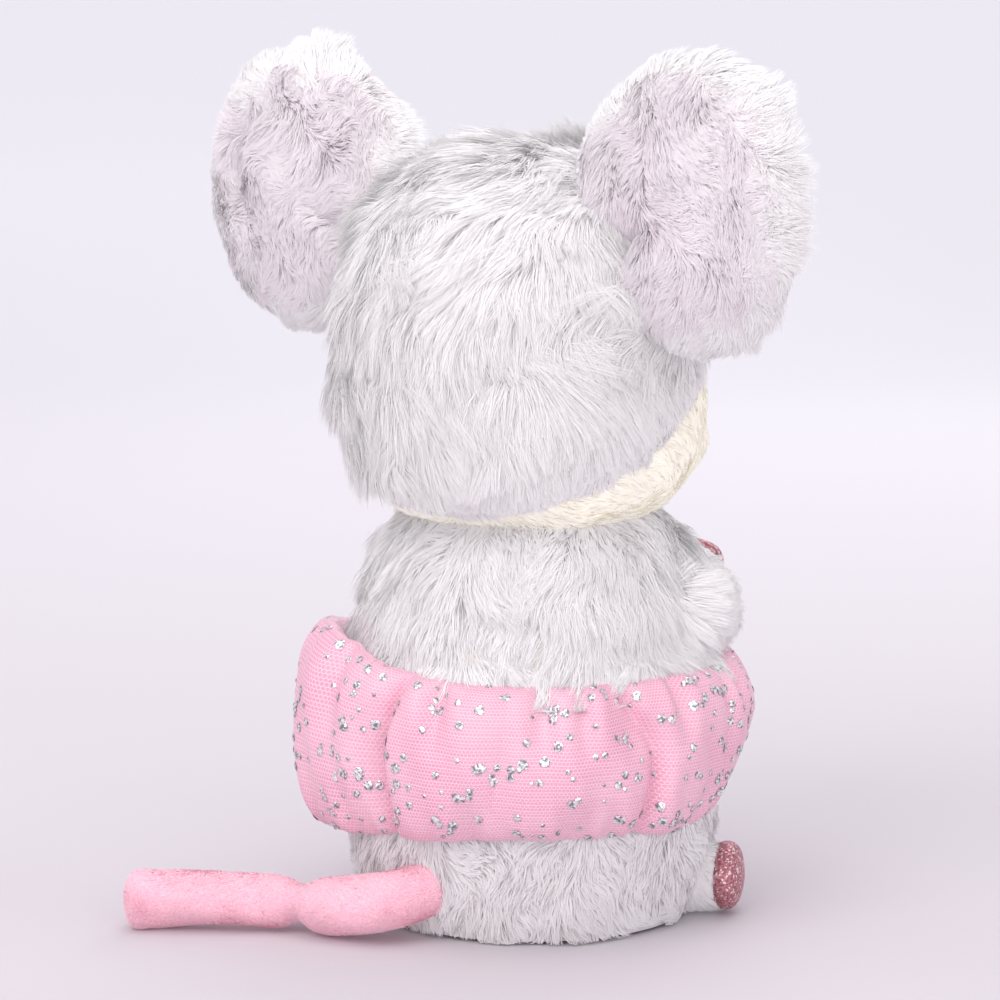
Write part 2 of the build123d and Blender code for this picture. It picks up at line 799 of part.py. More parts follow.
with BuildPart() as click_stud:
    with BuildSketch(Plane.XY.offset(frame_high)):
        with Locations(click_at):
            Circle(screw_radius)
    extrude(amount=frame_thickness)
    with BuildSketch(Plane.XY.offset(frame_high + frame_thickness)):
        with Locations(click_at):
            Circle(click_stud_radius)
    extrude(amount=3)
    with BuildSketch(Plane.XY.offset(frame_high + frame_thickness + 3)):
        with Locations(click_at):
            Circle(2)
    extrude(amount=0.6)
keep("click_stud", click_stud)

with BuildPart() as second_arbor:
    with BuildSketch(Plane.XY.offset(frame_low)):
        with Locations(second_at):
            Circle(second_arbor_radius)
    extrude(amount=crank_high + 0.5 - frame_low)
    add(gear(
        second_at, pinion_leaves, great_module, second_pinion_turn,
        great_wheel_low - pinion_overhang, great_wheel_high + pinion_overhang, 0,
    ))
keep("second_arbor", second_arbor)

with BuildPart() as second_wheel:
    add(gear(
        second_at, wheel_teeth, second_module, second_wheel_turn,
        second_wheel_low, second_wheel_high, second_arbor_radius,
    ))
    with BuildSketch(Plane.XY.offset(second_wheel_low)):
        with Locations(second_at):
            with PolarLocations(6, 5):
                Circle(2.3)
    extrude(amount=second_wheel_high - second_wheel_low, mode=Mode.SUBTRACT)
keep("second_wheel", second_wheel)

# At rest the crank pin stands straight out from the neck shaft, where the lever is in mid swing.
crank_pin_at = tuple(c * (1 + crank_throw / hypot(*second_at)) for c in second_at)
with BuildPart() as crank:
    with BuildSketch(Plane.XY.offset(crank_low)):
        with Locations(second_at):
            Circle(crank_radius)
            Circle(second_arbor_radius, mode=Mode.SUBTRACT)
    extrude(amount=crank_high - crank_low)
    with BuildSketch(Plane.XY.offset(crank_high)):
        with Locations(crank_pin_at):
            Circle(1.2)
    extrude(amount=crank_pin_top - crank_high)
keep("crank", crank)

with BuildPart() as third_arbor:
    with BuildSketch(Plane.XY.offset(frame_low)):
        with Locations(third_at):
            Circle(thin_arbor_radius)
    extrude(amount=frame_high + frame_thickness - frame_low)
    add(gear(
        third_at, pinion_leaves, second_module, third_pinion_turn,
        second_wheel_low - pinion_overhang, second_wheel_high + pinion_overhang, 0,
    ))
keep("third_arbor", third_arbor)

with BuildPart() as third_wheel:
    add(gear(
        third_at, wheel_teeth, third_module, third_wheel_turn,
        third_wheel_low, third_wheel_high, thin_arbor_radius,
    ))
    with BuildSketch(Plane.XY.offset(third_wheel_low)):
        with Locations(third_at):
            with PolarLocations(5.4, 5):
                Circle(2)
    extrude(amount=third_wheel_high - third_wheel_low, mode=Mode.SUBTRACT)
keep("third_wheel", third_wheel)

with BuildPart() as fly_arbor:
    with BuildSketch(Plane.XY.offset(frame_low)):
        with Locations(fly_at):
            Circle(thin_arbor_radius)
    extrude(amount=frame_high + frame_thickness - frame_low)
    add(gear(
        fly_at, pinion_leaves, third_module, fly_pinion_turn,
        third_wheel_low - pinion_overhang, third_wheel_high + pinion_overhang, 0,
    ))
keep("fly_arbor", fly_arbor)

with BuildPart() as fly_vane:
    with BuildSketch(Plane.XY.offset(vane_low)):
        with Locations(fly_at):
            Rectangle(2 * vane_reach, 0.7)
            Circle(2)
            Circle(thin_arbor_radius, mode=Mode.SUBTRACT)
    extrude(amount=vane_high - vane_low)
keep("fly_vane", fly_vane)

# ---- Neck ----

with BuildPart() as neck_shaft:
    with BuildSketch(Plane.XY.offset(neck_foot_low)):
        Circle(neck_foot_radius)
    extrude(amount=neck_low - neck_foot_low)
    with BuildSketch(Plane.XY.offset(neck_low)):
        Circle(neck_radius)
    extrude(amount=neck_high - neck_low)
keep("neck_shaft", neck_shaft)

lever_near = hypot(*second_at) - crank_throw - 1.6
lever_far = hypot(*second_at) + crank_throw + 1.6
lever_plane = Plane(origin=(0, 0, lever_low), x_dir=(*second_at, 0), z_dir=(0, 0, 1))
with BuildPart() as head_lever:
    with BuildSketch(lever_plane):
        Circle(5.2)
        with Locations(((lever_far + 1.6) / 2, 0)):
            SlotOverall(lever_far + 1.6, 6)
        with Locations(((lever_near + lever_far) / 2, 0)):
            SlotOverall(lever_far - lever_near, 2.6, mode=Mode.SUBTRACT)
        Circle(neck_radius, mode=Mode.SUBTRACT)
    extrude(amount=lever_high - lever_low)
keep("head_lever", head_lever)
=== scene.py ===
import json

import bpy
import numpy as np
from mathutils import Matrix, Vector, kdtree


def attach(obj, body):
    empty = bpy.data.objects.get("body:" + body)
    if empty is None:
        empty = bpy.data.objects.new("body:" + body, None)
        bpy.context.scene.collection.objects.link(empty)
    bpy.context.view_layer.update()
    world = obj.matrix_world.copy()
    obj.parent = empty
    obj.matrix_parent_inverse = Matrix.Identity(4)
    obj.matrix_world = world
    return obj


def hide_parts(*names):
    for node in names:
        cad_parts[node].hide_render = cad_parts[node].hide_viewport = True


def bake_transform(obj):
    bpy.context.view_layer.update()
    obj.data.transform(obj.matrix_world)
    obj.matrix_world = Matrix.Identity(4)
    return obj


# A long-haired plush mouse in a gathered net skirt on a hard clockwork base, in metres and in the frame
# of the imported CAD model. +Z is up and the mouse faces -Y. Every fur is real geometry: thin tapered blades
# that grow from a fabric skin, lean with the comb of the pile and draw together at their tips into locks.

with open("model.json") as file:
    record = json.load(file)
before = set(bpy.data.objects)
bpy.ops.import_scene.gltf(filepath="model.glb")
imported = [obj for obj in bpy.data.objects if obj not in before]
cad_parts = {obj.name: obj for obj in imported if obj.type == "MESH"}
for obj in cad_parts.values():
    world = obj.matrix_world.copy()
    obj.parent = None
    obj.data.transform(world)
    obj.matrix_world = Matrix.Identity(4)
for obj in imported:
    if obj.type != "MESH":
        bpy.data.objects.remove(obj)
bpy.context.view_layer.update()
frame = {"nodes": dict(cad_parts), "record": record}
nodes = frame["nodes"]
MM = 0.001

# Driving sizes in millimetres.
# An outline is (radius, lowest, widest height, highest, lower power, upper power).
HEAD_OUTLINE = (41.5, 96, 139, 181.5, 4, 2.2)
HEAD_CENTRE_Y = 4
TORSO_OUTLINE = (40.5, -14, 30, 105, 3, 3.4)
LOWER_OUTLINE = (42.8, -14.8, 30, 88.3, 3, 4.2)
CHEEK_CENTRE = (0, -30, 111)
CHEEK_RADII = (24.5, 21, 14)
SEAM_POINT = (19.4, 108.5)
SEAM_FACING = (-0.503, -0.864)
EYE_PLACE = (16, 0, 131)
EAR_OUT = {1: 54.5, -1: 51.0}
EAR_DEPTH_Y, EAR_HEIGHT = 12.5, 171
EAR_ACROSS, EAR_TALL = 32, 35
EAR_ROOT_TURN = np.radians(212)
WAIST = 60
SKIRT_ROOT = 42.0
ARM_PATH = np.array([(35, -4, 74), (33, -22, 71.8), (26, -39, 71.8), (16.5, -52, 75)])
FOOT_TURN = np.radians(67)
FOOT_HEIGHT = 9.2
SOLE_REACH = 48.4
TAIL_PATH = [(0, 41, 12.5), (8, 50, 9.5), (18, 52.5, 7.5), (29, 53.5, 7.2), (42, 60, 7.4), (63, 72, 6.9)]
TAIL_KINK = 0.46


# ---- Node materials ----

class Graph:
    """A material's node tree around one Principled shader, with short calls to add and join nodes."""

    def __init__(self, name, roughness=0.6, metallic=0.0):
        self.material = bpy.data.materials.new(name)
        self.material.use_nodes = True
        self.tree = self.material.node_tree
        self.shader = self.tree.nodes["Principled BSDF"]
        self.shader.inputs["Roughness"].default_value = roughness
        self.shader.inputs["Metallic"].default_value = metallic

    def node(self, kind, inputs=(), **settings):
        made = self.tree.nodes.new(kind)
        for key, value in settings.items():
            setattr(made, key, value)
        for socket, value in dict(inputs).items():
            if isinstance(value, bpy.types.NodeSocket):
                self.tree.links.new(value, made.inputs[socket])
            else:
                made.inputs[socket].default_value = value
        return made

    def feed(self, socket, value):
        self.tree.links.new(value, self.shader.inputs[socket])

    def place(self, kind="Object"):
        return self.node("ShaderNodeTexCoord").outputs[kind]

    def noise(self, scale, detail=3.0, roughness=0.5):
        made = self.node("ShaderNodeTexNoise", {
            "Vector": self.place(), "Scale": scale, "Detail": detail, "Roughness": roughness,
        })
        return made.outputs["Fac"]

    def cells(self, scale, output):
        made = self.node("ShaderNodeTexVoronoi", {"Vector": self.place(), "Scale": scale})
        return made.outputs[output]

    def maths(self, operation, a, b=0.0, c=0.0):
        made = self.node("ShaderNodeMath", {0: a, 1: b, 2: c}, operation=operation)
        return made.outputs[0]

    def vector(self, operation, a, b=(0, 0, 0), output="Vector"):
        made = self.node("ShaderNodeVectorMath", {0: a, 1: b}, operation=operation)
        return made.outputs[output]

    def between(self, value, low, high, to_low=0.0, to_high=1.0):
        made = self.node(
            "ShaderNodeMapRange",
            {"Value": value, "From Min": low, "From Max": high, "To Min": to_low, "To Max": to_high},
        )
        return made.outputs["Result"]

    def mix(self, share, a, b):
        """Colour a where share is 0, b where it is 1. A hex string is a colour."""
        made = self.node("ShaderNodeMix", data_type="RGBA")
        for socket, value in ((0, share), (6, a), (7, b)):
            if isinstance(value, bpy.types.NodeSocket):
                self.tree.links.new(value, made.inputs[socket])
            else:
                made.inputs[socket].default_value = colour(value) if isinstance(value, str) else value
        return made.outputs[2]

    def bump(self, height, strength, distance):
        made = self.node("ShaderNodeBump", {"Height": height, "Strength": strength, "Distance": distance})
        self.feed("Normal", made.outputs["Normal"])


def colour(code):
    """A linear colour for an sRGB hex string."""
    parts = [int(code[i:i + 2], 16) / 255 for i in (1, 3, 5)]
    return (*(c / 12.92 if c <= 0.04045 else ((c + 0.055) / 1.055) ** 2.4 for c in parts), 1.0)


def pile_material(name, light, shade, root, painted_glow=0.07):
    """Fibres with painted shade near their roots that vary in lightness from lock to lock, with a faint
    painted glow that lifts the shade between them.
    """
    g = Graph(name, roughness=0.8)
    along = g.node("ShaderNodeAttribute", attribute_name="along").outputs["Fac"]
    tone = g.node("ShaderNodeAttribute", attribute_name="tone").outputs["Fac"]
    patch = g.between(g.noise(70.0, 2.0), 0.35, 0.7)
    body = g.mix(g.maths("MULTIPLY", patch, tone), light, shade)
    # painted shade: the blades darken to the root colour toward their roots, where little light reaches among
    # them
    g.feed("Base Color", g.mix(g.between(along, 0.0, 0.45, 1.0, 0.0), body, root))
    # painted glow: the fibres emit a little of their light colour to lift the shade among the blades
    g.shader.inputs["Emission Color"].default_value = colour(light)
    g.shader.inputs["Emission Strength"].default_value = painted_glow
    g.shader.inputs["Sheen Weight"].default_value = 0.15
    g.shader.inputs["Sheen Roughness"].default_value = 0.5
    g.shader.inputs["Specular IOR Level"].default_value = 0.12
    return g.material


def backing_material(name, light, shade):
    """The knitted ground that a pile grows from."""
    g = Graph(name, roughness=0.85)
    g.feed("Base Color", g.mix(g.between(g.noise(900.0), 0.35, 0.65), light, shade))
    g.bump(g.noise(1600.0, 2.0), 0.5, 0.0004)
    g.shader.inputs["Sheen Weight"].default_value = 0.3
    return g.material


def velour_material(name, light, shade, painted_sheen):
    """Short brushed nap whose patches lie different ways, paler toward the third colour where the surface
    turns away from view, a painted sheen.
    """
    g = Graph(name, roughness=0.85)
    nap = g.between(g.noise(95.0, 4.0, 0.6), 0.38, 0.62)
    fine = g.between(g.noise(1500.0, 2.0), 0.3, 0.7)
    facing = g.node("ShaderNodeLayerWeight", {"Blend": 0.35}).outputs["Facing"]
    body = g.mix(g.maths("MULTIPLY_ADD", fine, 0.35, g.maths("MULTIPLY", nap, 0.6)), light, shade)
    # painted sheen: the colour pales toward the third colour where the surface turns edge-on to the view
    g.feed("Base Color", g.mix(g.maths("MULTIPLY", facing, 0.35), body, painted_sheen))
    g.feed("Roughness", g.between(nap, 0.0, 1.0, 0.7, 0.95))
    g.bump(g.maths("MULTIPLY_ADD", fine, 0.6, nap), 0.7, 0.0006)
    g.shader.inputs["Sheen Weight"].default_value = 0.7
    g.shader.inputs["Sheen Roughness"].default_value = 0.35
    g.shader.inputs["Sheen Tint"].default_value = colour("#FFF0F5")
    return g.material


def satin_material(name, light, shade):
    """Smooth satin with a fine diagonal weave and soft shine."""
    g = Graph(name, roughness=0.34)
    weave = g.node(
        "ShaderNodeTexWave", {"Vector": g.place(), "Scale": 700.0, "Distortion": 0.6},
        bands_direction="DIAGONAL",
    ).outputs["Fac"]
    cloud = g.between(g.noise(45.0, 3.0), 0.35, 0.65)
    share = g.maths("MULTIPLY_ADD", weave, 0.2, g.maths("MULTIPLY", cloud, 0.7))
    g.feed("Base Color", g.mix(share, light, shade))
    g.feed("Roughness", g.between(weave, 0.0, 1.0, 0.28, 0.42))
    g.bump(weave, 0.25, 0.0001)
    g.shader.inputs["Sheen Weight"].default_value = 0.3
    g.shader.inputs["Anisotropic"].default_value = 0.4
    return g.material


def net_material(name, thread, hole, shadow, pitch):
    """Hexagonal net over satin: pale threads round holes that show the deeper, shinier cloth under them."""
    g = Graph(name, roughness=0.5)
    at = g.vector("SCALE", g.place("UV"))
    at.node.inputs["Scale"].default_value = 1 / pitch
    cell = (1.0, 3**0.5, 1.0)
    half = (0.5, 3**0.5 / 2, 0.5)
    offsets = []
    for shifted in (at, g.vector("ADD", at, half)):
        offsets.append(g.vector("SUBTRACT", g.vector("MODULO", shifted, cell), half))
    sizes = [g.vector("DOT_PRODUCT", o, o, "Value") for o in offsets]
    nearest = g.node("ShaderNodeMix", {
        0: g.maths("LESS_THAN", sizes[1], sizes[0]), 4: offsets[0], 5: offsets[1],
    }, data_type="VECTOR").outputs[1]
    inward = g.vector("ABSOLUTE", nearest)
    across = g.node("ShaderNodeSeparateXYZ", {0: inward}).outputs[0]
    slanted = g.vector("DOT_PRODUCT", inward, (0.5, 3**0.5 / 2, 0.0), "Value")
    strand = g.between(g.maths("MAXIMUM", across, slanted), 0.36, 0.45)
    cloud = g.between(g.noise(60.0, 4.0), 0.35, 0.68)
    under = g.mix(cloud, hole, shadow)
    g.feed("Base Color", g.mix(g.maths("MULTIPLY", strand, 0.8), under, thread))
    g.feed("Roughness", g.between(strand, 0.0, 1.0, 0.38, 0.75))
    g.bump(strand, 0.6, 0.00025)
    g.shader.inputs["Sheen Weight"].default_value = 0.35
    g.shader.inputs["Sheen Roughness"].default_value = 0.3
    g.shader.inputs["Sheen Tint"].default_value = colour("#FFE6F0")
    return g.material


def glitter_material(name, ground, flake, painted_glint):
    """Cloth set with fine flakes that each tilt and shine their own way; a few flakes are painted in the pale
    third colour as painted glints.
    """
    g = Graph(name, roughness=0.4, metallic=0.45)
    tint = g.node("ShaderNodeSeparateColor", {"Color": g.cells(2300.0, "Color")})
    pick = g.between(tint.outputs[0], 0.2, 0.8)
    body = g.mix(pick, ground, flake)
    # painted glints: a few cells take the pale third colour
    bright = g.between(tint.outputs[1], 0.86, 0.9)
    g.feed("Base Color", g.mix(bright, body, painted_glint))
    g.feed("Roughness", g.between(tint.outputs[2], 0.0, 1.0, 0.22, 0.6))
    g.bump(tint.outputs[1], 0.9, 0.0004)
    return g.material


def foil_material(name):
    """Silver foil, crinkled, with dull and bright patches."""
    g = Graph(name, roughness=0.25, metallic=0.9)
    crease = g.noise(1500.0, 2.0)
    g.feed("Base Color", g.mix(g.between(crease, 0.42, 0.62), "#FCFCFF", "#8A8C93"))
    g.feed("Roughness", g.between(crease, 0.3, 0.7, 0.14, 0.5))
    g.bump(crease, 0.9, 0.0004)
    return g.material


def moulded_material(name, light, shade, roughness=0.5, grain=1100.0):
    """Moulded plastic with a fine grain and faint cloudiness."""
    g = Graph(name, roughness=roughness)
    g.feed("Base Color", g.mix(g.between(g.noise(50.0), 0.35, 0.65), light, shade))
    speck = g.noise(grain, 2.0)
    g.feed("Roughness", g.between(speck, 0.3, 0.7, roughness - 0.08, roughness + 0.1))
    g.bump(speck, 0.25, 0.0001)
    return g.material


def metal_material(name, light, shade, roughness, marks=420.0):
    """Worked metal with turning marks and slight tarnish."""
    g = Graph(name, roughness=roughness, metallic=1.0)
    turned = g.noise(marks, 4.0, 0.7)
    stain = g.between(g.noise(120.0, 4.0), 0.4, 0.7)
    g.feed("Base Color", g.mix(stain, light, shade))
    g.feed("Roughness", g.between(turned, 0.3, 0.7, roughness - 0.08, roughness + 0.12))
    g.bump(turned, 0.15, 0.0001)
    return g.material


# ---- Meshes ----

def mesh_object(name, points, faces, materials, smooth=True):
    mesh = bpy.data.meshes.new(name)
    mesh.from_pydata(np.asarray(points, float).tolist(), [], faces)
    mesh.update()
    mesh.polygons.foreach_set("use_smooth", [smooth] * len(mesh.polygons))
    made = bpy.data.objects.new(name, mesh)
    bpy.context.scene.collection.objects.link(made)
    for material in materials:
        made.data.materials.append(material)
    return made


def grid_faces(rows, columns, wrap=True):
    """Quads of a grid of rows by columns of points, closed round along the columns when wrap is true."""
    faces = []
    for i in range(rows - 1):
        for j in range(columns if wrap else columns - 1):
            k = (j + 1) % columns
            faces.append((i * columns + j, i * columns + k, (i + 1) * columns + k, (i + 1) * columns + j))
    return faces


def finished(made, modifiers):
    """The object with its modifiers, given as (type, settings), applied to its mesh."""
    for kind, settings in modifiers:
        modifier = made.modifiers.new(kind.title(), kind)
        for key, value in settings.items():
            setattr(modifier, key, value)
    graph = bpy.context.evaluated_depsgraph_get()
    mesh = bpy.data.meshes.new_from_object(made.evaluated_get(graph))
    made.modifiers.clear()
    made.data = mesh
    mesh.polygons.foreach_set("use_smooth", [True] * len(mesh.polygons))
    return made


def superellipse_ring(radius, low, middle, high, low_power, high_power, steps):
    """Radius and height from the lower pole to the upper one, the same outline as the CAD solids."""
    turn = np.linspace(-np.pi / 2, np.pi / 2, steps)
    power = np.where(turn < 0, low_power, high_power)
    reach = np.where(turn < 0, middle - low, high - middle)
    across = radius * np.maximum(np.cos(turn), 0) ** (2 / power)
    height = middle + np.sign(turn) * reach * np.abs(np.sin(turn)) ** (2 / power)
    return across, height


def turned(outline, centre_y, columns):
    """Points and faces of an outline turned about the vertical axis, in millimetres."""
    across, height = outline
    angle = np.linspace(0, 2 * np.pi, columns, endpoint=False)
    x = across[:, None] * np.cos(angle)
    y = across[:, None] * np.sin(angle) + centre_y
    z = np.repeat(height[:, None], columns, 1)
    return np.stack([x, y, z], -1).reshape(-1, 3), grid_faces(len(across), columns)


def smooth_path(points, steps):
    """Points evenly spread along a Catmull-Rom curve through the given points."""
    p = np.array([2 * np.array(points[0]) - points[1], *points, 2 * np.array(points[-1]) - points[-2]], float)
    found = []
    for i in range(1, len(p) - 2):
        t = np.linspace(0, 1, 24, endpoint=False)[:, None]
        a, b, c, d = p[i - 1], p[i], p[i + 1], p[i + 2]
        found.append(0.5 * (2 * b + (c - a) * t + (2 * a - 5 * b + 4 * c - d) * t**2
                            + (3 * b - a - 3 * c + d) * t**3))
    found = np.concatenate([*found, p[-2:-1]])
    length = np.concatenate([[0], np.cumsum(np.linalg.norm(np.diff(found, axis=0), axis=1))])
    return np.stack([np.interp(np.linspace(0, length[-1], steps), length, found[:, k]) for k in range(3)], 1)


def tube(path, radii, columns, squeeze=None, cap_depth=1.0):
    """Points and faces of a closed tube of changing radius along a path, with rounded ends."""
    path = np.asarray(path, float)
    radii = np.asarray(radii, float)
    ahead = np.gradient(path, axis=0)
    ahead /= np.linalg.norm(ahead, axis=1)[:, None]
    cap = np.linspace(np.pi / 2, 0, 6)[:-1]
    centres = [path[0] - ahead[0] * radii[0] * cap_depth * np.sin(c) for c in cap]
    centres += list(path)
    centres += [path[-1] + ahead[-1] * radii[-1] * cap_depth * np.sin(c) for c in cap[::-1]]
    widths = [radii[0] * np.cos(c) for c in cap] + list(radii) + [radii[-1] * np.cos(c) for c in cap[::-1]]
    aheads = [ahead[0]] * 5 + list(ahead) + [ahead[-1]] * 5
    rows = []
    angle = np.linspace(0, 2 * np.pi, columns, endpoint=False)
    for i, (centre, width, along) in enumerate(zip(centres, widths, aheads)):
        side = np.cross(along, (0, 0, 1))
        side /= np.linalg.norm(side)
        up = np.cross(side, along)
        ring = width * (np.cos(angle)[:, None] * side + np.sin(angle)[:, None] * up)
        if squeeze is not None:
            ring = ring * squeeze(i / (len(centres) - 1), angle)[:, None]
        rows.append(centre + ring)
    return np.concatenate(rows), [f[::-1] for f in grid_faces(len(rows), columns)]


# ---- Pile ----

def spread(made, count, rng, keep=None):
    """Evenly random points on a mesh with the surface directions there."""
    mesh = made.data
    mesh.calc_loop_triangles()
    corner = np.empty(len(mesh.loop_triangles) * 3, int)
    mesh.loop_triangles.foreach_get("vertices", corner)
    corner = corner.reshape(-1, 3)
    place = np.empty(len(mesh.vertices) * 3)
    mesh.vertices.foreach_get("co", place)
    place = place.reshape(-1, 3)
    out = np.empty(len(mesh.vertices) * 3)
    mesh.vertex_normals.foreach_get("vector", out)
    out = out.reshape(-1, 3)
    area = np.linalg.norm(np.cross(place[corner[:, 1]] - place[corner[:, 0]],
                                   place[corner[:, 2]] - place[corner[:, 0]]), axis=1)
    if keep is not None:
        area = area * keep(place[corner].mean(1))
    pick = rng.choice(len(corner), count, p=area / area.sum())
    u, v = np.sqrt(rng.random(count)), rng.random(count)
    share = np.stack([1 - u, u * (1 - v), u * v], 1)[:, :, None]
    points = (place[corner[pick]] * share).sum(1)
    outward = (out[corner[pick]] * share).sum(1)
    return points, outward / np.linalg.norm(outward, axis=1)[:, None]


def drift(points, wavelength, seed):
    """A smooth wandering value, about -1 to 1, at each point."""
    rng = np.random.default_rng(seed)
    total = np.zeros(len(points))
    for _ in range(5):
        wave = rng.normal(size=3)
        wave *= 2 * np.pi / wavelength / np.linalg.norm(wave) * rng.uniform(0.7, 1.5)
        total += np.sin(points @ wave + rng.uniform(0, 2 * np.pi))
    return total / 2.2


def unit(vectors):
    return vectors / np.maximum(np.linalg.norm(vectors, axis=1), 1e-9)[:, None]


LEVELS = np.array([0.0, 0.3, 0.62, 1.0])


def pile(name, made, count, material, length, width, comb, lift, seed, gather=0.6, lock=3.0, swirl=0.6,
         keep=None, trim=None, floor=None):
    """Blades on a skin: length and width in mm, comb gives the way the pile lies, lift how far it stands up,
    gather how strongly tips draw together, lock the spacing of the locks in mm, trim a length factor by place
    and floor the lowest height in mm that tips may reach."""
    rng = np.random.default_rng(seed)
    root, out = spread(made, count, rng, keep)
    lie = comb(root / MM)
    lie = unit(lie - out * (lie * out).sum(1)[:, None] + 1e-6)
    across = np.cross(out, lie)
    turn = swirl * (drift(root, 0.034, seed) + 0.6 * drift(root, 0.011, seed + 1))
    turn = turn + rng.normal(0, 0.16, count)
    lie = lie * np.cos(turn)[:, None] + across * np.sin(turn)[:, None]
    reach = length * MM * (1 + 0.22 * drift(root, 0.02, seed + 2)) * rng.uniform(0.7, 1.12, count)
    if trim is not None:
        reach = reach * trim(root / MM)
    rise = np.clip(lift * (1 + 0.35 * drift(root, 0.013, seed + 3)) + rng.normal(0, 0.07, count), 0.08, 1)
    centre = []
    for t in LEVELS:
        up = rise * (1.3 * t - 0.55 * t**2)
        along = np.sqrt(np.maximum(1 - rise**2, 0.05)) * (0.6 * t + 0.5 * t**2)
        centre.append(root + out * (reach * up)[:, None] + lie * (reach * along)[:, None])
    centre = np.stack(centre, 1)
    heads = rng.choice(count, max(count // 40, 2), replace=False)
    heads = heads[:max(int(len(heads) * 3.0 / lock), 2)]
    tree = kdtree.KDTree(len(heads))
    for i, h in enumerate(heads):
        tree.insert(centre[h, -1], i)
    tree.balance()
    near = heads[np.array([tree.find(c)[1] for c in centre[:, -1]])]
    pull = (gather * rng.uniform(0.5, 1.1, count))[:, None, None] * (LEVELS**1.4)[None, :, None]
    toward = centre[near] - centre
    apart = np.linalg.norm(toward[:, -1], axis=1)
    pull = pull * np.clip(2.2 * lock * MM / np.maximum(apart, 1e-6), 0, 1)[:, None, None]
    centre = centre + toward * pull
    if floor is not None:
        centre[:, :, 2] = np.maximum(centre[:, :, 2], (floor + 0.4 * LEVELS) * MM)
    stem = centre[:, -1] - centre[:, 0]
    twist = rng.normal(0, 0.55, count)
    side = unit(np.cross(out, stem))
    side = unit(side * np.cos(twist)[:, None] + out * np.sin(twist)[:, None])
    half = 0.5 * width * MM * rng.uniform(0.6, 1.25, count)
    points = np.empty((count, 7, 3))
    for level, share in enumerate((1.0, 0.92, 0.6)):
        step = side * (half * share)[:, None]
        points[:, 2 * level] = centre[:, level] - step
        points[:, 2 * level + 1] = centre[:, level] + step
    points[:, 6] = centre[:, 3]
    first = np.arange(count)[:, None] * 7
    quads = np.concatenate([first + (1, 0, 2, 3), first + (3, 2, 4, 5)])
    tips = first + (5, 4, 6)
    blades = mesh_object(name, points.reshape(-1, 3), [*quads.tolist(), *tips.tolist()], [material])
    bent = unit(out * 0.9 + unit(stem) * 0.12)
    normal = np.empty((count, 7, 3))
    for level in range(3):
        normal[:, 2 * level] = unit(bent - side * 0.2)
        normal[:, 2 * level + 1] = unit(bent + side * 0.2)
    normal[:, 6] = bent
    blades.data.normals_split_custom_set_from_vertices(normal.reshape(-1, 3))
    tone = np.repeat(0.7 * rng.random(count)[near] + 0.3 * rng.random(count), 7)
    along = np.tile([0, 0, 0.3, 0.3, 0.62, 0.62, 1.0], count)
    for key, values in (("tone", tone), ("along", along)):
        blades.data.attributes.new(key, "FLOAT", "POINT").data.foreach_set("value", values.astype(np.float32))
    return blades


# ---- Materials of the mouse ----

# Each pile's third colour is painted shade at the roots, and its last number is a painted glow.
long_white = pile_material("long_white_pile", "#F7F6F7", "#F0EEEF", "#E6E1E3")
body_white = pile_material("body_white_pile", "#F4F2F4", "#EBE7E9", "#DDD7DA", 0.08)
ear_pile = pile_material("ear_pile", "#F5F0F4", "#E9E0E7", "#DACDD6", 0.06)
cream_pile = pile_material("cream_pile", "#FDFAF2", "#FAF6EA", "#F3ECDC", 0.2)
# Each ground is a little darker than its pile: painted shade for the gaps between the blades.
white_ground = backing_material("white_ground", "#F2EEF0", "#E7E1E4")
ear_ground = backing_material("ear_ground", "#EBDEE6", "#DDC9D5")
cream_ground = backing_material("cream_ground", "#FAF6EB", "#F3ECDD")
tail_pile = pile_material("pink_short_pile", "#FCCFDD", "#F9C2D3", "#F5B7CB", 0.14)
# The third colour of each velour, here and for the brown thread, is a painted sheen at grazing angles.
velour = velour_material("pink_velour", "#FCCDDC", "#F7BACE", "#FDE0E9")
satin = satin_material("pink_satin", "#F8C8DA", "#EFA9C4")
net = net_material("pink_net", "#FBE1EA", "#F3B5CC", "#EA9DBB", 0.0009)
# The last glitter colour is painted glints.
glitter = glitter_material("rose_glitter", "#9C5A66", "#C88A92", "#F6DDE0")
foil = foil_material("silver_foil")
fibre = backing_material("fibre_filling", "#F4F4F2", "#E4E4E0")
foam = moulded_material("open_foam", "#ECE9E2", "#D9D5CB", 0.9, 700.0)
nose_satin = satin_material("nose_satin", "#EE9BB2", "#D9788F")
thread = velour_material("brown_thread", "#8C5A62", "#6E434B", "#A87A80")


def down(points):
    """The pile hangs, spreading a little away from the middle."""
    return np.stack([points[:, 0] * 0.004, points[:, 1] * 0.004, -np.ones(len(points))], 1)


def brushed_back(points):
    """The pile hangs, except on the crown, where it lies toward the back."""
    crown = np.clip((points[:, 2] - 150) / 28, 0, 1)
    return np.stack([points[:, 0] * 0.004, points[:, 1] * 0.004 + 1.4 * crown, crown * 0.6 - 1], 1)


def in_face(points):
    """How far a point in mm lies on the face side of the seam from nape to brow."""
    return SEAM_FACING[0] * (points[:, 1] - SEAM_POINT[0]) + SEAM_FACING[1] * (points[:, 2] - SEAM_POINT[1])


def part_of(made, name, keep, material):
    """The faces of a mesh whose centres are kept, as an object of their own."""
    mesh = made.data
    points = np.array([v.co for v in mesh.vertices])
    faces = [tuple(f.vertices) for f in mesh.polygons]
    centres = np.array([points[list(f)].mean(0) for f in faces]) / MM
    chosen = [f for f, k in zip(faces, keep(centres)) if k]
    used = sorted({v for f in chosen for v in f})
    order = {v: i for i, v in enumerate(used)}
    return mesh_object(name, points[used], [tuple(order[v] for v in f) for f in chosen], [material])


# ---- Head ----

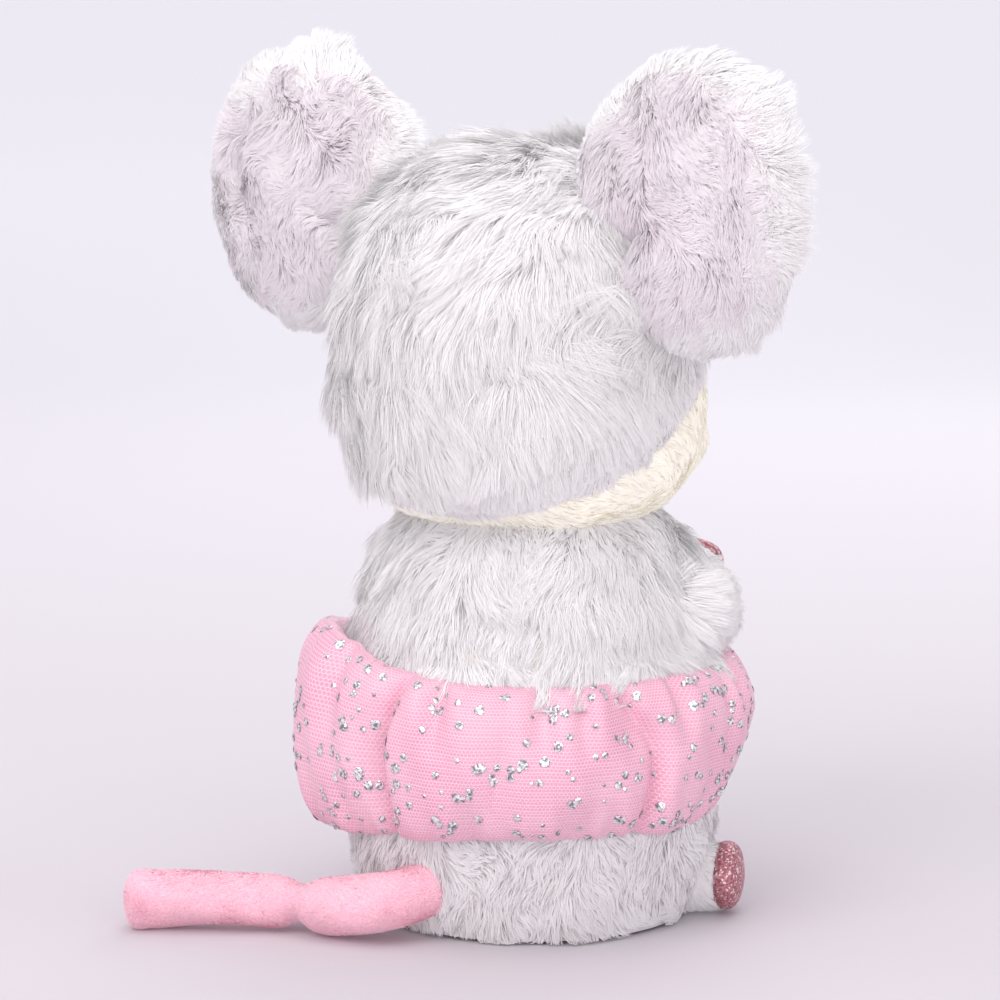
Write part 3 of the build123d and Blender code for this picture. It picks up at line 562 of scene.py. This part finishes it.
head_points, head_faces = turned(superellipse_ring(*HEAD_OUTLINE, 40), HEAD_CENTRE_Y, 80)
cheek_across, cheek_height = superellipse_ring(1, -1, 0, 1, 2, 2, 24)
cheek_points, cheek_faces = turned((cheek_across, cheek_height), 0, 48)
cheek_points = cheek_points * CHEEK_RADII + CHEEK_CENTRE
shift = len(head_points)
head_whole = mesh_object(
    "head_whole", np.concatenate([head_points, cheek_points]) * MM,
    head_faces + [tuple(v + shift for v in f) for f in cheek_faces], [white_ground],
)
finished(head_whole, [
    ("REMESH", {"mode": "VOXEL", "voxel_size": 0.0014}),
    ("SMOOTH", {"factor": 0.7, "iterations": 14}),
])
head_skin = part_of(head_whole, "head_skin", lambda c: in_face(c) < 0, white_ground)
face_skin = part_of(head_whole, "face_skin", lambda c: in_face(c) >= 0, cream_ground)
face_place = np.array([v.co for v in face_skin.data.vertices])
face_out = np.array([v.normal for v in face_skin.data.vertices])
face_place += face_out * (1.8 * MM * np.clip(in_face(face_place / MM) / 8, 0, 1))[:, None]
face_skin.data.vertices.foreach_set("co", face_place.ravel())
head_fur = []
for i, (low, high) in enumerate(((90, 115), (115, 134), (134, 153), (153, 169), (169, 190))):
    head_fur.append(pile(
        f"head_fur_{i}", head_skin, 39000, long_white, 11.5, 0.25, brushed_back, 0.42, 11 + 7 * i,
        gather=0.6, lock=3.0,
        keep=lambda c, a=low, b=high: (c[:, 2] / MM > a) & (c[:, 2] / MM <= b),
        trim=lambda p: np.clip(-in_face(p) / 16, 0.25, 1),
    ))
face_fur = pile(
    "face_fur", face_skin, 39000, cream_pile, 2.8, 0.3,
    lambda p: np.stack([p[:, 0] * 0.05, p[:, 1] * 0, -np.ones(len(p))], 1), 0.4, 41, gather=0.35, lock=2.0,
    keep=lambda c: np.linalg.norm(np.abs(c / MM) * (1, 0, 1) - EYE_PLACE, axis=1) > 4.0,
)
for made in [head_skin, *head_fur]:
    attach(made, "head")
for made in (face_skin, face_fur):
    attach(made, "head")
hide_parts("head_cover")
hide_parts("face_panel")
bpy.data.objects.remove(head_whole)

nose_across, nose_height = superellipse_ring(1, -1, 0, 1, 2.0, 3.2, 22)
nose_points, nose_faces = turned((nose_across, nose_height), 0, 36)
nose_points[:, 0] *= 1 + 0.28 * nose_points[:, 2]
nose_points = nose_points * (4.6, 3.4, 3.2) + (0, -53.2, 114.5)
nose = mesh_object("nose_pad", nose_points * MM, nose_faces, [nose_satin])
mouth_lines = []
for side in (-1, 1):
    mouth_lines.append(
        [(0, -54.3, 111), (0, -54.6, 108.4), (side * 2.4, -54.0, 106.2), (side * 5.2, -52.6, 106.4)]
    )
mouth_points, mouth_faces = [], []
for line in mouth_lines:
    points, faces = tube(smooth_path(line, 18), np.full(18, 0.42), 8)
    mouth_faces += [tuple(v + sum(map(len, mouth_points)) for v in f) for f in faces]
    mouth_points.append(points)
mouth = mesh_object("mouth_stitch", np.concatenate(mouth_points) * MM, mouth_faces, [thread])
for made in (nose, mouth):
    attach(made, "head")
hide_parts("nose")

# ---- Ears ----

EAR_ROWS, EAR_COLUMNS = 34, 96


def ear_surface(side, inset, depth, dent):
    """A dished, padded ear, gathered at its root next to the head and creased behind its outer edge."""
    u = np.linspace(0.0, 1.0, EAR_ROWS)[:, None]
    angle = np.linspace(0, 2 * np.pi, EAR_COLUMNS, endpoint=False)[None, :]
    root = np.arctan2(np.sin(angle - EAR_ROOT_TURN), np.cos(angle - EAR_ROOT_TURN))
    pinch = np.exp(-((root / 0.55) ** 2))
    corner = 1 + 0.035 * np.cos(3 * (angle - np.radians(62)))
    across = (EAR_ACROSS - inset) * u * corner * (1 - 0.10 * pinch * u**2)
    tall = (EAR_TALL - inset) * u * corner * (1 - 0.10 * pinch * u**2)
    x = across * np.cos(angle)
    z = tall * np.sin(angle)
    folds = 1.7 * np.sin(7 * root + 0.6) * np.exp(-((root / 0.7) ** 2)) * u**1.5
    valley = -dent * np.exp(-((root / 0.22) ** 2)) * np.clip((u - 0.15) / 0.5, 0, 1)
    edge = np.arctan2(np.sin(angle - 0.25), np.cos(angle - 0.25))
    crease = -0.55 * dent * np.exp(-(((u - 0.66) / 0.09) ** 2)) * np.exp(-((edge / 0.75) ** 2))
    crease = crease * (0.65 + 0.35 * side)
    wave = 1.3 * np.sin(2 * angle + 0.5) * u**2 + 0.8 * np.sin(3 * angle + 2.0) * u**3
    y = depth * (1 - u**3) ** 0.6 + folds + valley + crease + wave
    return np.stack([side * (EAR_OUT[side] + x), EAR_DEPTH_Y + y, EAR_HEIGHT + z], -1).reshape(-1, 3)


def ear_reach(points):
    """How far a point in mm lies from the middle of its ear, 1 at the edge."""
    middle = np.where(points[:, 0] > 0, EAR_OUT[1], EAR_OUT[-1])
    return np.hypot((np.abs(points[:, 0]) - middle) / 29.8, (points[:, 2] - EAR_HEIGHT) / 32.8)


for name, side, seed in (("left", 1, 61), ("right", -1, 71)):
    back = ear_surface(side, 2.6, 8.6, 7.0)
    rim = ear_surface(side, 2.2, 5.0, 2.6)
    shell = np.concatenate([back, rim])
    count = EAR_ROWS * EAR_COLUMNS
    faces = grid_faces(EAR_ROWS, EAR_COLUMNS)
    faces = faces + [tuple(v + count for v in f[::-1]) for f in faces]
    last = (EAR_ROWS - 1) * EAR_COLUMNS
    for j in range(EAR_COLUMNS):
        k = (j + 1) % EAR_COLUMNS
        faces.append((last + j, last + k, count + last + k, count + last + j))
    if side < 0:
        faces = [f[::-1] for f in faces]
    ear = mesh_object(f"{name}_ear_back", shell * MM, faces, [ear_ground])
    finished(ear, [("SUBSURF", {"levels": 1})])
    faces = grid_faces(EAR_ROWS, EAR_COLUMNS)
    outer = mesh_object("ear_outer", back * MM, faces if side > 0 else [f[::-1] for f in faces], [ear_ground])
    front = ear_surface(side, 4.2, 4.0, 2.2)
    faces = [f[::-1] for f in grid_faces(EAR_ROWS, EAR_COLUMNS)]
    if side < 0:
        faces = [f[::-1] for f in faces]
    lining = mesh_object(f"{name}_ear_satin", (front - (0, 0.4, 0)) * MM, faces, [satin])
    finished(lining, [("SOLIDIFY", {"thickness": 0.0006, "offset": 0}), ("SUBSURF", {"levels": 1})])
    rim_path = ear_surface(side, 2.8, 5.0, 2.6)[-EAR_COLUMNS:]
    rim_path = np.concatenate([rim_path, rim_path[:1]]) - (0, 0.9, 0)
    points, faces = tube(rim_path, np.full(len(rim_path), 0.9), 10)
    piping = mesh_object(f"{name}_ear_piping", points * MM, faces, [satin])
    fur = pile(
        f"{name}_ear_fur", outer, 34000, ear_pile, 4.2, 0.25, down, 0.5, seed,
        gather=0.45, lock=2.2, swirl=1.0,
        keep=lambda c: ear_reach(c / MM) < 0.93,
    )
    fringe = pile(
        f"{name}_ear_fringe", outer, 26000, long_white, 6.0, 0.26,
        lambda p, s=side: np.stack([p[:, 0] - s * 54, p[:, 0] * 0 - 8, p[:, 2] - 184], 1), 0.55, seed + 3,
        gather=0.5, lock=2.6, swirl=0.7, keep=lambda c: np.clip((ear_reach(c / MM) - 0.68) / 0.2, 0, 1),
        trim=lambda p: np.clip(ear_reach(p) * 2.5 - 1.5, 0.45, 1),
    )
    bpy.data.objects.remove(outer)
    for made, slot in ((ear, "short_plush"), (fur, "short_plush"), (fringe, "short_plush"),
                       (lining, "pink_satin"), (piping, "pink_satin")):
        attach(made, "head")
    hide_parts(f"{name}_ear")
    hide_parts(f"{name}_ear_lining")

# ---- Body ----

across, height = superellipse_ring(*TORSO_OUTLINE, 80)
across = across + 3.0 * np.exp(-(((height - WAIST) / 5) ** 2))
chosen = (height > 54) & (across > 26)
torso_points, torso_faces = turned((across[chosen], height[chosen]), 0, 120)
torso = mesh_object("torso_skin", torso_points * MM, torso_faces, [white_ground])
torso_fur = []
for i, (low, high) in enumerate(((56, 66), (66, 79), (79, 97))):
    torso_fur.append(pile(
        f"torso_fur_{i}", torso, 38000, long_white, 10.5, 0.25, down, 0.45, 81 + 7 * i, gather=0.6, lock=3.0,
        keep=lambda c, a=low, b=high: (c[:, 2] / MM > a) & (c[:, 2] / MM <= b), floor=57,
        trim=lambda p: np.clip((98 - p[:, 2]) / 8, 0.4, 1),
    ))
across, height = superellipse_ring(*LOWER_OUTLINE, 60)
chosen = (height > 0.6) & (height < 53)
lower_points, lower_faces = turned((across[chosen], height[chosen]), 0, 120)
lower = mesh_object("lower_skin", lower_points * MM, lower_faces, [white_ground])
lower_fur = pile(
    "lower_fur", lower, 40000, body_white, 5.2, 0.3, down, 0.5, 101, gather=0.45, lock=2.2, swirl=0.9,
    keep=lambda c: (c[:, 2] / MM < 36) & (c[:, 2] / MM > 2), floor=0.2,
)
for made in (torso, lower, lower_fur, *torso_fur):
    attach(made, "base")
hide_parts("torso_cover")
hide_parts("lower_cover")

# ---- Skirt ----

# Where the deep pleats stand round the skirt, and how deep each one is.
PLEATS = np.radians([-32, 2, 38, 84, 119, 155, 186, 216, 248, 278, 304])
CREASES = np.array([0.7, 0.5, 0.35, 1.0, 0.22, 0.85, 0.3, 0.7, 0.9, 0.5, 0.8])
# Folds drawn in at the waist: (angle and width in degrees, depth in mm).
TUCKS = [
    (64, 4, 3.5), (99, 3, 3.0), (128, 3.4, 4.0), (138, 2.6, 3.0), (168, 3.2, 4.5), (196, 3, 3.5),
    (232, 4, 4.0), (262, 3.5, 4.0), (291, 4, 4.5), (320, 4, 4.0), (345, 3.5, 4.0), (17, 4, 3.5),
]
SKIRT_COLUMNS = 432
# The length of net round the skirt in metres, a whole number of its cells so that they meet.
NET_ROUND = 0.3429
profile = smooth_path([
    (SKIRT_ROOT, 58, 0), (44.0, 62.0, 0), (48.5, 61, 0), (52.6, 55, 0), (54.0, 45, 0),
    (53.6, 36, 0), (52.0, 29.5, 0), (48.6, 26.0, 0), (45.0, 26.4, 0), (43.4, 31, 0),
], 44)[:, :2]


def bell(angle, centre, width):
    """1 at the centre angle, falling away over the width, both in degrees."""
    apart = np.angle(np.exp(1j * (angle - np.radians(centre))))
    return np.exp(-((apart / np.radians(width)) ** 2))


def skirt_points(lift):
    """The gathered bubble skirt, lift mm outside its satin."""
    angle = np.linspace(0, 2 * np.pi, SKIRT_COLUMNS, endpoint=False)[None, :]
    row = np.linspace(0, 1, len(profile))[:, None]
    bent = angle + np.radians(3.0) * np.sin(4 * row + 3 * angle)
    bent = bent + np.radians(2.0) * np.sin(9 * row + 7 * angle)
    turns = np.concatenate([PLEATS, PLEATS[:1] + 2 * np.pi])
    deep = np.concatenate([CREASES, CREASES[:1]])
    where = (bent - turns[0]) % (2 * np.pi) + turns[0]
    index = np.clip(np.searchsorted(turns, where, side="right") - 1, 0, len(PLEATS) - 1)
    share = np.clip((where - turns[index]) / (turns[index + 1] - turns[index]), 0, 1)
    crease = deep[index] * np.exp(-share / 0.07) + deep[index + 1] * np.exp(-(1 - share) / 0.12)
    gather = np.sin(46 * angle + 2.2 * np.sin(5 * angle)) * 0.6 * np.abs(2 * row - 0.9) ** 1.5
    ripple = 0.6 * np.sin(13 * angle + 5 * row) + 0.35 * np.sin(29 * angle - 9 * row + 1)
    out = profile[:, :1] - SKIRT_ROOT
    side = bell(angle, 42, 34)
    full = 0.9 - 0.62 * crease + 0.34 * side + 0.08 * bell(angle, 208, 22)
    radius = SKIRT_ROOT + out * full + gather + ripple * np.sin(np.pi * row)
    radius = radius + lift * np.sin(np.pi * row) ** 0.3
    tall = profile[:, 1:]
    for centre, width, depth in TUCKS:
        top = np.clip((tall - 45) / 12, 0, 1) * np.clip(out / 8, 0, 1)
        radius = radius - depth * bell(angle, centre, width) * top
        hem = np.clip((37 - tall) / 8, 0, 1) * np.clip(out / 8, 0, 1)
        radius = radius - 0.6 * depth * bell(angle, centre + 9, width * 1.4) * hem
    radius = radius - 9.0 * bell(angle, 210, 30) * np.clip((50 - tall) / 26, 0, 1) * np.clip(out / 6, 0, 1)
    height = tall + 9.0 * side * np.clip((tall - 36) / 26, 0, 1) * np.clip(out / 5, 0, 1)
    height = height - 3.0 * side * np.clip((36 - tall) / 10, 0, 1)
    height = height + 1.0 * np.sin(3 * angle + 1) * np.clip((40 - tall) / 15, 0, 1)
    height = height + crease * 1.6 * np.clip((40 - tall) / 15, 0, 1)
    return np.stack([radius * np.cos(angle), radius * np.sin(angle), height + 0 * angle], -1)


def skirt_layer(name, lift, material):
    points = skirt_points(lift)
    faces = [f[::-1] for f in grid_faces(len(profile), SKIRT_COLUMNS)]
    made = mesh_object(name, points.reshape(-1, 3) * MM, faces, [material])
    length = np.concatenate([[0], np.cumsum(np.linalg.norm(np.diff(profile, axis=0), axis=1))]) * MM
    layer = made.data.uv_layers.new(name="cloth")
    for face in made.data.polygons:
        for loop, vertex in zip(face.loop_indices, face.vertices):
            row, column = divmod(vertex, SKIRT_COLUMNS)
            if column == 0 and any(v % SKIRT_COLUMNS == SKIRT_COLUMNS - 1 for v in face.vertices):
                column = SKIRT_COLUMNS
            layer.data[loop].uv = (1 + column / SKIRT_COLUMNS * NET_ROUND, 1 + length[row])
    return made


skirt_satin = skirt_layer("skirt_satin_layer", 0.0, satin)
skirt_net = skirt_layer("skirt_net_layer", 0.9, net)
finished(skirt_net, [("SUBSURF", {"levels": 1})])
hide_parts("skirt_satin")
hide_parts("skirt_tulle")
for made in (skirt_satin, skirt_net):
    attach(made, "base")


def flakes(name, made, count, small, large, seed, shown):
    """Thin, slightly cupped foil dots stuck to a cloth surface where shown(places, directions) is true.
    Their radii run from small to large, in mm."""
    rng = np.random.default_rng(seed)
    root, out = spread(made, count, rng)
    chosen = shown(root / MM, out)
    root, out = root[chosen], out[chosen]
    points, faces = [], []
    for centre, away in zip(root, out):
        first = np.cross(away, (0.1, 0.2, 0.97))
        first /= np.linalg.norm(first)
        second = np.cross(away, first)
        radius = rng.uniform(small, large) * MM
        around = np.linspace(0, 2 * np.pi, 12, endpoint=False)
        uneven = radius * (1 + 0.12 * np.sin(3 * around + rng.uniform(0, 6)))
        begin = len(points)
        points.append(centre + away * 0.00025)
        for share, rise in ((0.6, 0.0003), (1.0, 0.00012)):
            for angle, reach in zip(around, uneven):
                sideways = np.cos(angle) * first + np.sin(angle) * second
                points.append(centre + share * reach * sideways + away * rise)
        for j in range(12):
            k = (j + 1) % 12
            faces.append((begin, begin + 1 + j, begin + 1 + k))
            faces.append((begin + 1 + j, begin + 13 + j, begin + 13 + k, begin + 1 + k))
    return mesh_object(name, points, faces, [foil])


skirt_dots = flakes(
    "skirt_foil_dots", skirt_net, 760, 0.45, 1.3, 131,
    lambda p, n: (np.linalg.norm(p[:, :2], axis=1) > 46) & ((n * p).sum(1) > 0),
)
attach(skirt_dots, "base")
for name in ("left", "right"):
    lining = bpy.data.objects[f"{name}_ear_satin"]
    dots = flakes(f"{name}_ear_foil_dots", lining, 150, 0.6, 1.5, 141, lambda p, n: n[:, 1] < -0.2)
    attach(dots, "head")

# ---- Arms, feet and tail ----

def paw_section(along, angle):
    """A paw is a little wider than it is tall."""
    return 1 + 0.10 * np.cos(2 * angle) - 0.02 * np.cos(6 * angle)


for name, side, seed in (("left", 1, 151), ("right", -1, 161)):
    mirror = np.array([side, 1, 1])
    body = f"{name}_arm_body"
    path = smooth_path(list(ARM_PATH * mirror), 40)
    t = np.linspace(0, 1, 40)
    path = path + t[:, None] ** 0.7 * np.array([-3.0 * side, 2.0, 0])
    points, faces = tube(path, 9.0 + 0.5 * np.sin(np.pi * t) - 2.6 * t, 40, None, 0.5)
    arm = mesh_object(f"{name}_arm_skin", points * MM, faces, [white_ground])

    def along_arm(p, a=path):
        step = np.diff(a, axis=0)
        near = np.argmin(np.linalg.norm(p[:, None, :] - a[None, :-1, :], axis=2), axis=1)
        return unit(step[near]) + (0, 0, -0.4)

    fur = pile(f"{name}_arm_fur", arm, 38000, long_white, 9.0, 0.26, along_arm, 0.46, seed, gather=0.6,
               lock=2.8, trim=lambda p, e=path[-1]: np.clip(np.linalg.norm(p - e, axis=1) / 26, 0.3, 1))
    for made in (arm, fur):
        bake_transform(made)
    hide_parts(f"{name}_arm")
    ahead = unit(np.array([path[-1] - path[-3]]))[0]
    paw_path = smooth_path([path[-1] + ahead * d for d in (1.5, 4.0, 7.0, 9.6)], 14)
    width = 1.12 * np.array([5.6, 6.2, 6.7, 7.1, 7.4, 7.5, 7.5, 7.3, 7.0, 6.6, 6.0, 5.2, 4.3, 3.2])
    points, faces = tube(paw_path, width, 48, paw_section, 0.4)
    paw = mesh_object(f"{name}_paw_pad", points * MM, faces, [glitter])
    finished(paw, [("SUBSURF", {"levels": 1})])
    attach(paw, body)
    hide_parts(f"{name}_paw")
    way = np.array([side * np.sin(FOOT_TURN), -np.cos(FOOT_TURN), 0.0])
    foot_line = smooth_path([way * d + (0, 0, FOOT_HEIGHT) for d in (28, 34, 39, 44)], 16)
    points, faces = tube(foot_line, np.full(16, 7.2), 40, None, 0.4)
    foot = mesh_object(f"{name}_foot_skin", points * MM, faces, [white_ground])
    foot_fur = pile(
        f"{name}_foot_fur", foot, 9000, body_white, 4.2, 0.3, lambda p, w=way: 0 * p + w - (0, 0, 0.3), 0.4,
        seed + 3, gather=0.45, lock=2.2, floor=0.2,
        keep=lambda c, w=way: (c @ w / MM < 48) & (c @ w / MM > 36),
    )
    reach = np.array([0.0, 2.5, 5, 7, 8.1, 8.6, 8.75, 8.6, 7.8])
    proud = np.array([3.4, 3.25, 2.8, 2.1, 1.2, 0.2, -1.0, -2.0, -2.9])
    turn = np.linspace(0, 2 * np.pi, 64, endpoint=False)
    oval = reach[:, None] * (1 + 0.03 * np.cos(2 * turn))
    beside = np.cross(way, (0, 0, 1))
    sole_points = (
        way * (SOLE_REACH + proud[:, None, None]) + beside * (oval * np.cos(turn))[:, :, None]
        + np.array([0, 0, 1]) * (FOOT_HEIGHT + 0.97 * oval * np.sin(turn))[:, :, None]
    ).reshape(-1, 3)
    sole = mesh_object(f"{name}_sole_pad", sole_points * MM, grid_faces(9, 64), [glitter])
    finished(sole, [("SUBSURF", {"levels": 1})])
    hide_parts(f"{name}_foot")
    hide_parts(f"{name}_sole")
    for made in (foot, foot_fur, sole):
        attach(made, "base")

tail_line = smooth_path(TAIL_PATH, 90)
t = np.linspace(0, 1, 90)
tail_radii = 6.1 + 0.5 * np.sin(7 * t) - 1.5 * np.exp(-(((t - TAIL_KINK) / 0.04) ** 2)) + 0.5 * t
points, faces = tube(tail_line, tail_radii, 56, lambda s, a: (
    1 + 0.04 * np.sin(3 * a + 14 * s) + 0.12 * np.exp(-(((s - TAIL_KINK) / 0.05) ** 2)) * np.cos(2 * a + 0.4)
), 0.4)
tail = mesh_object("tail_velour", points * MM, faces, [velour])
finished(tail, [("SUBSURF", {"levels": 1})])
tail_nap = pile(
    "tail_nap", tail, 36000, tail_pile, 0.8, 0.22, lambda p: 0 * p + (1, 0.5, 0), 0.5, 171,
    gather=0.1, lock=2.0, swirl=0.9,
)
for made in (tail, tail_nap):
    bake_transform(made)
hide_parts("tail")

# ---- Hard parts of the CAD model ----

brass = metal_material("rolled_brass", "#C9A552", "#A9853B", 0.34)
steel = metal_material("turned_steel", "#BDBFC2", "#8F9296", 0.32)
nickel = metal_material("nickel_plate", "#D3D5D8", "#AEB1B5", 0.2)
blued = metal_material("blued_spring", "#59636F", "#3F4650", 0.38)
finishes = {
    "base_plastic": moulded_material("base_moulding", "#DAD5DB", "#CBC5CD", 0.55),
    "housing_plastic": moulded_material("housing_moulding", "#EFEBF1", "#E1DCE4", 0.5),
    "former_plastic": moulded_material("former_moulding", "#F1EFEA", "#E3E0D8", 0.5),
    "clear_washer": moulded_material("natural_moulding", "#EDEDEA", "#DCDCD6", 0.45),
    "black_bead": moulded_material("black_bead", "#0B0B0E", "#17161B", 0.12, 300.0),
    "stuffing": fibre,
    "padding": foam,
    "steel": steel,
    "brass": brass,
    "screw_steel": nickel,
    "spring_steel": blued,
}
for entry in frame["record"]["subparts"]:
    material = finishes.get(entry["material_slot"])
    if material:
        shown = nodes[entry["node"]]
        shown.data.materials.clear()
        shown.data.materials.append(material)

# ---- Stage, light and camera ----

sweep = [(-9.0, 0.0), (-0.2, 0.0)]
sweep += [(1.1 + 0.9 * np.sin(a), 0.9 - 0.9 * np.cos(a)) for a in np.linspace(0, np.pi / 2, 24)]
sweep.append((2.0, 4.0))
azimuth, elevation = np.radians(215.0), np.radians(8.5)
away = np.array([-np.sin(azimuth), np.cos(azimuth), 0.0])
right = np.array([np.cos(azimuth), np.sin(azimuth), 0.0])
sheet = Graph("paper_sweep", roughness=0.9)
# painted light falloff: the sweep is darkest low down near the mouse and grows paler farther off and higher
# up; only the faint cloud is in the paper itself
far = sheet.vector("DOT_PRODUCT", sheet.place(), (away[0], away[1], 1.6), "Value")
far = sheet.maths("MAXIMUM", far, sheet.maths("MULTIPLY", far, -0.2))
cloud = sheet.between(sheet.noise(3.0), 0.3, 0.7, -0.02, 0.02)
painted_light_falloff = sheet.between(sheet.maths("ADD", far, cloud), -0.1, 1.6)
sheet.feed("Base Color", sheet.mix(painted_light_falloff, "#CDC8CE", "#F8F8FE"))
back_points = [away * reach + right * wide + (0, 0, tall) for reach, tall in sweep for wide in (-9.0, 9.0)]
backdrop = mesh_object("paper_backdrop", back_points, grid_faces(len(sweep), 2, wrap=False), [sheet.material])

world = bpy.data.worlds.new("studio")
bpy.context.scene.world = world
world.use_nodes = True
world.node_tree.nodes["Background"].inputs["Color"].default_value = colour("#F8F4F7")
world.node_tree.nodes["Background"].inputs["Strength"].default_value = 0.85


def lamp(name, place, aim, size, watts, tint):
    light = bpy.data.lights.new(name, "AREA")
    light.size = size
    light.energy = watts
    light.color = colour(tint)[:3]
    made = bpy.data.objects.new(name, light)
    bpy.context.scene.collection.objects.link(made)
    made.location = place
    made.rotation_euler = (Vector(aim) - Vector(place)).to_track_quat("-Z", "Y").to_euler()


toward = np.array([np.sin(azimuth), -np.cos(azimuth), 0.0])
middle = (0, 0, 0.1)
lamp("key", tuple(toward * 0.7 - right * 0.55 + (0, 0, 0.8)), middle, 0.7, 4.5, "#FFFBFA")
lamp("front", tuple(toward * 1.2 + right * 0.3 + (0, 0, 0.2)), middle, 1.1, 5.5, "#FFFBFC")
lamp("top", (0.0, 0.0, 1.2), middle, 0.9, 3.0, "#FFFFFF")
lamp("rim", tuple(-toward * 0.9 + right * 0.3 + (0, 0, 0.8)), middle, 0.8, 2.5, "#FFFFFF")

camera_data = bpy.data.cameras.new("camera")
camera = bpy.data.objects.new("camera", camera_data)
bpy.context.scene.collection.objects.link(camera)
bpy.context.scene.camera = camera
distance = 0.85
camera_data.sensor_width = 36.0
camera_data.lens = 36.0 * distance / 0.238
target = Vector((0.0062, 0.0044, 0.0983))
back = Vector((*(toward[:2] * np.cos(elevation)), np.sin(elevation)))
camera.location = target + back * distance
camera.rotation_euler = (-back).to_track_quat("-Z", "Y").to_euler()
bpy.context.scene.view_settings.view_transform = "Standard"
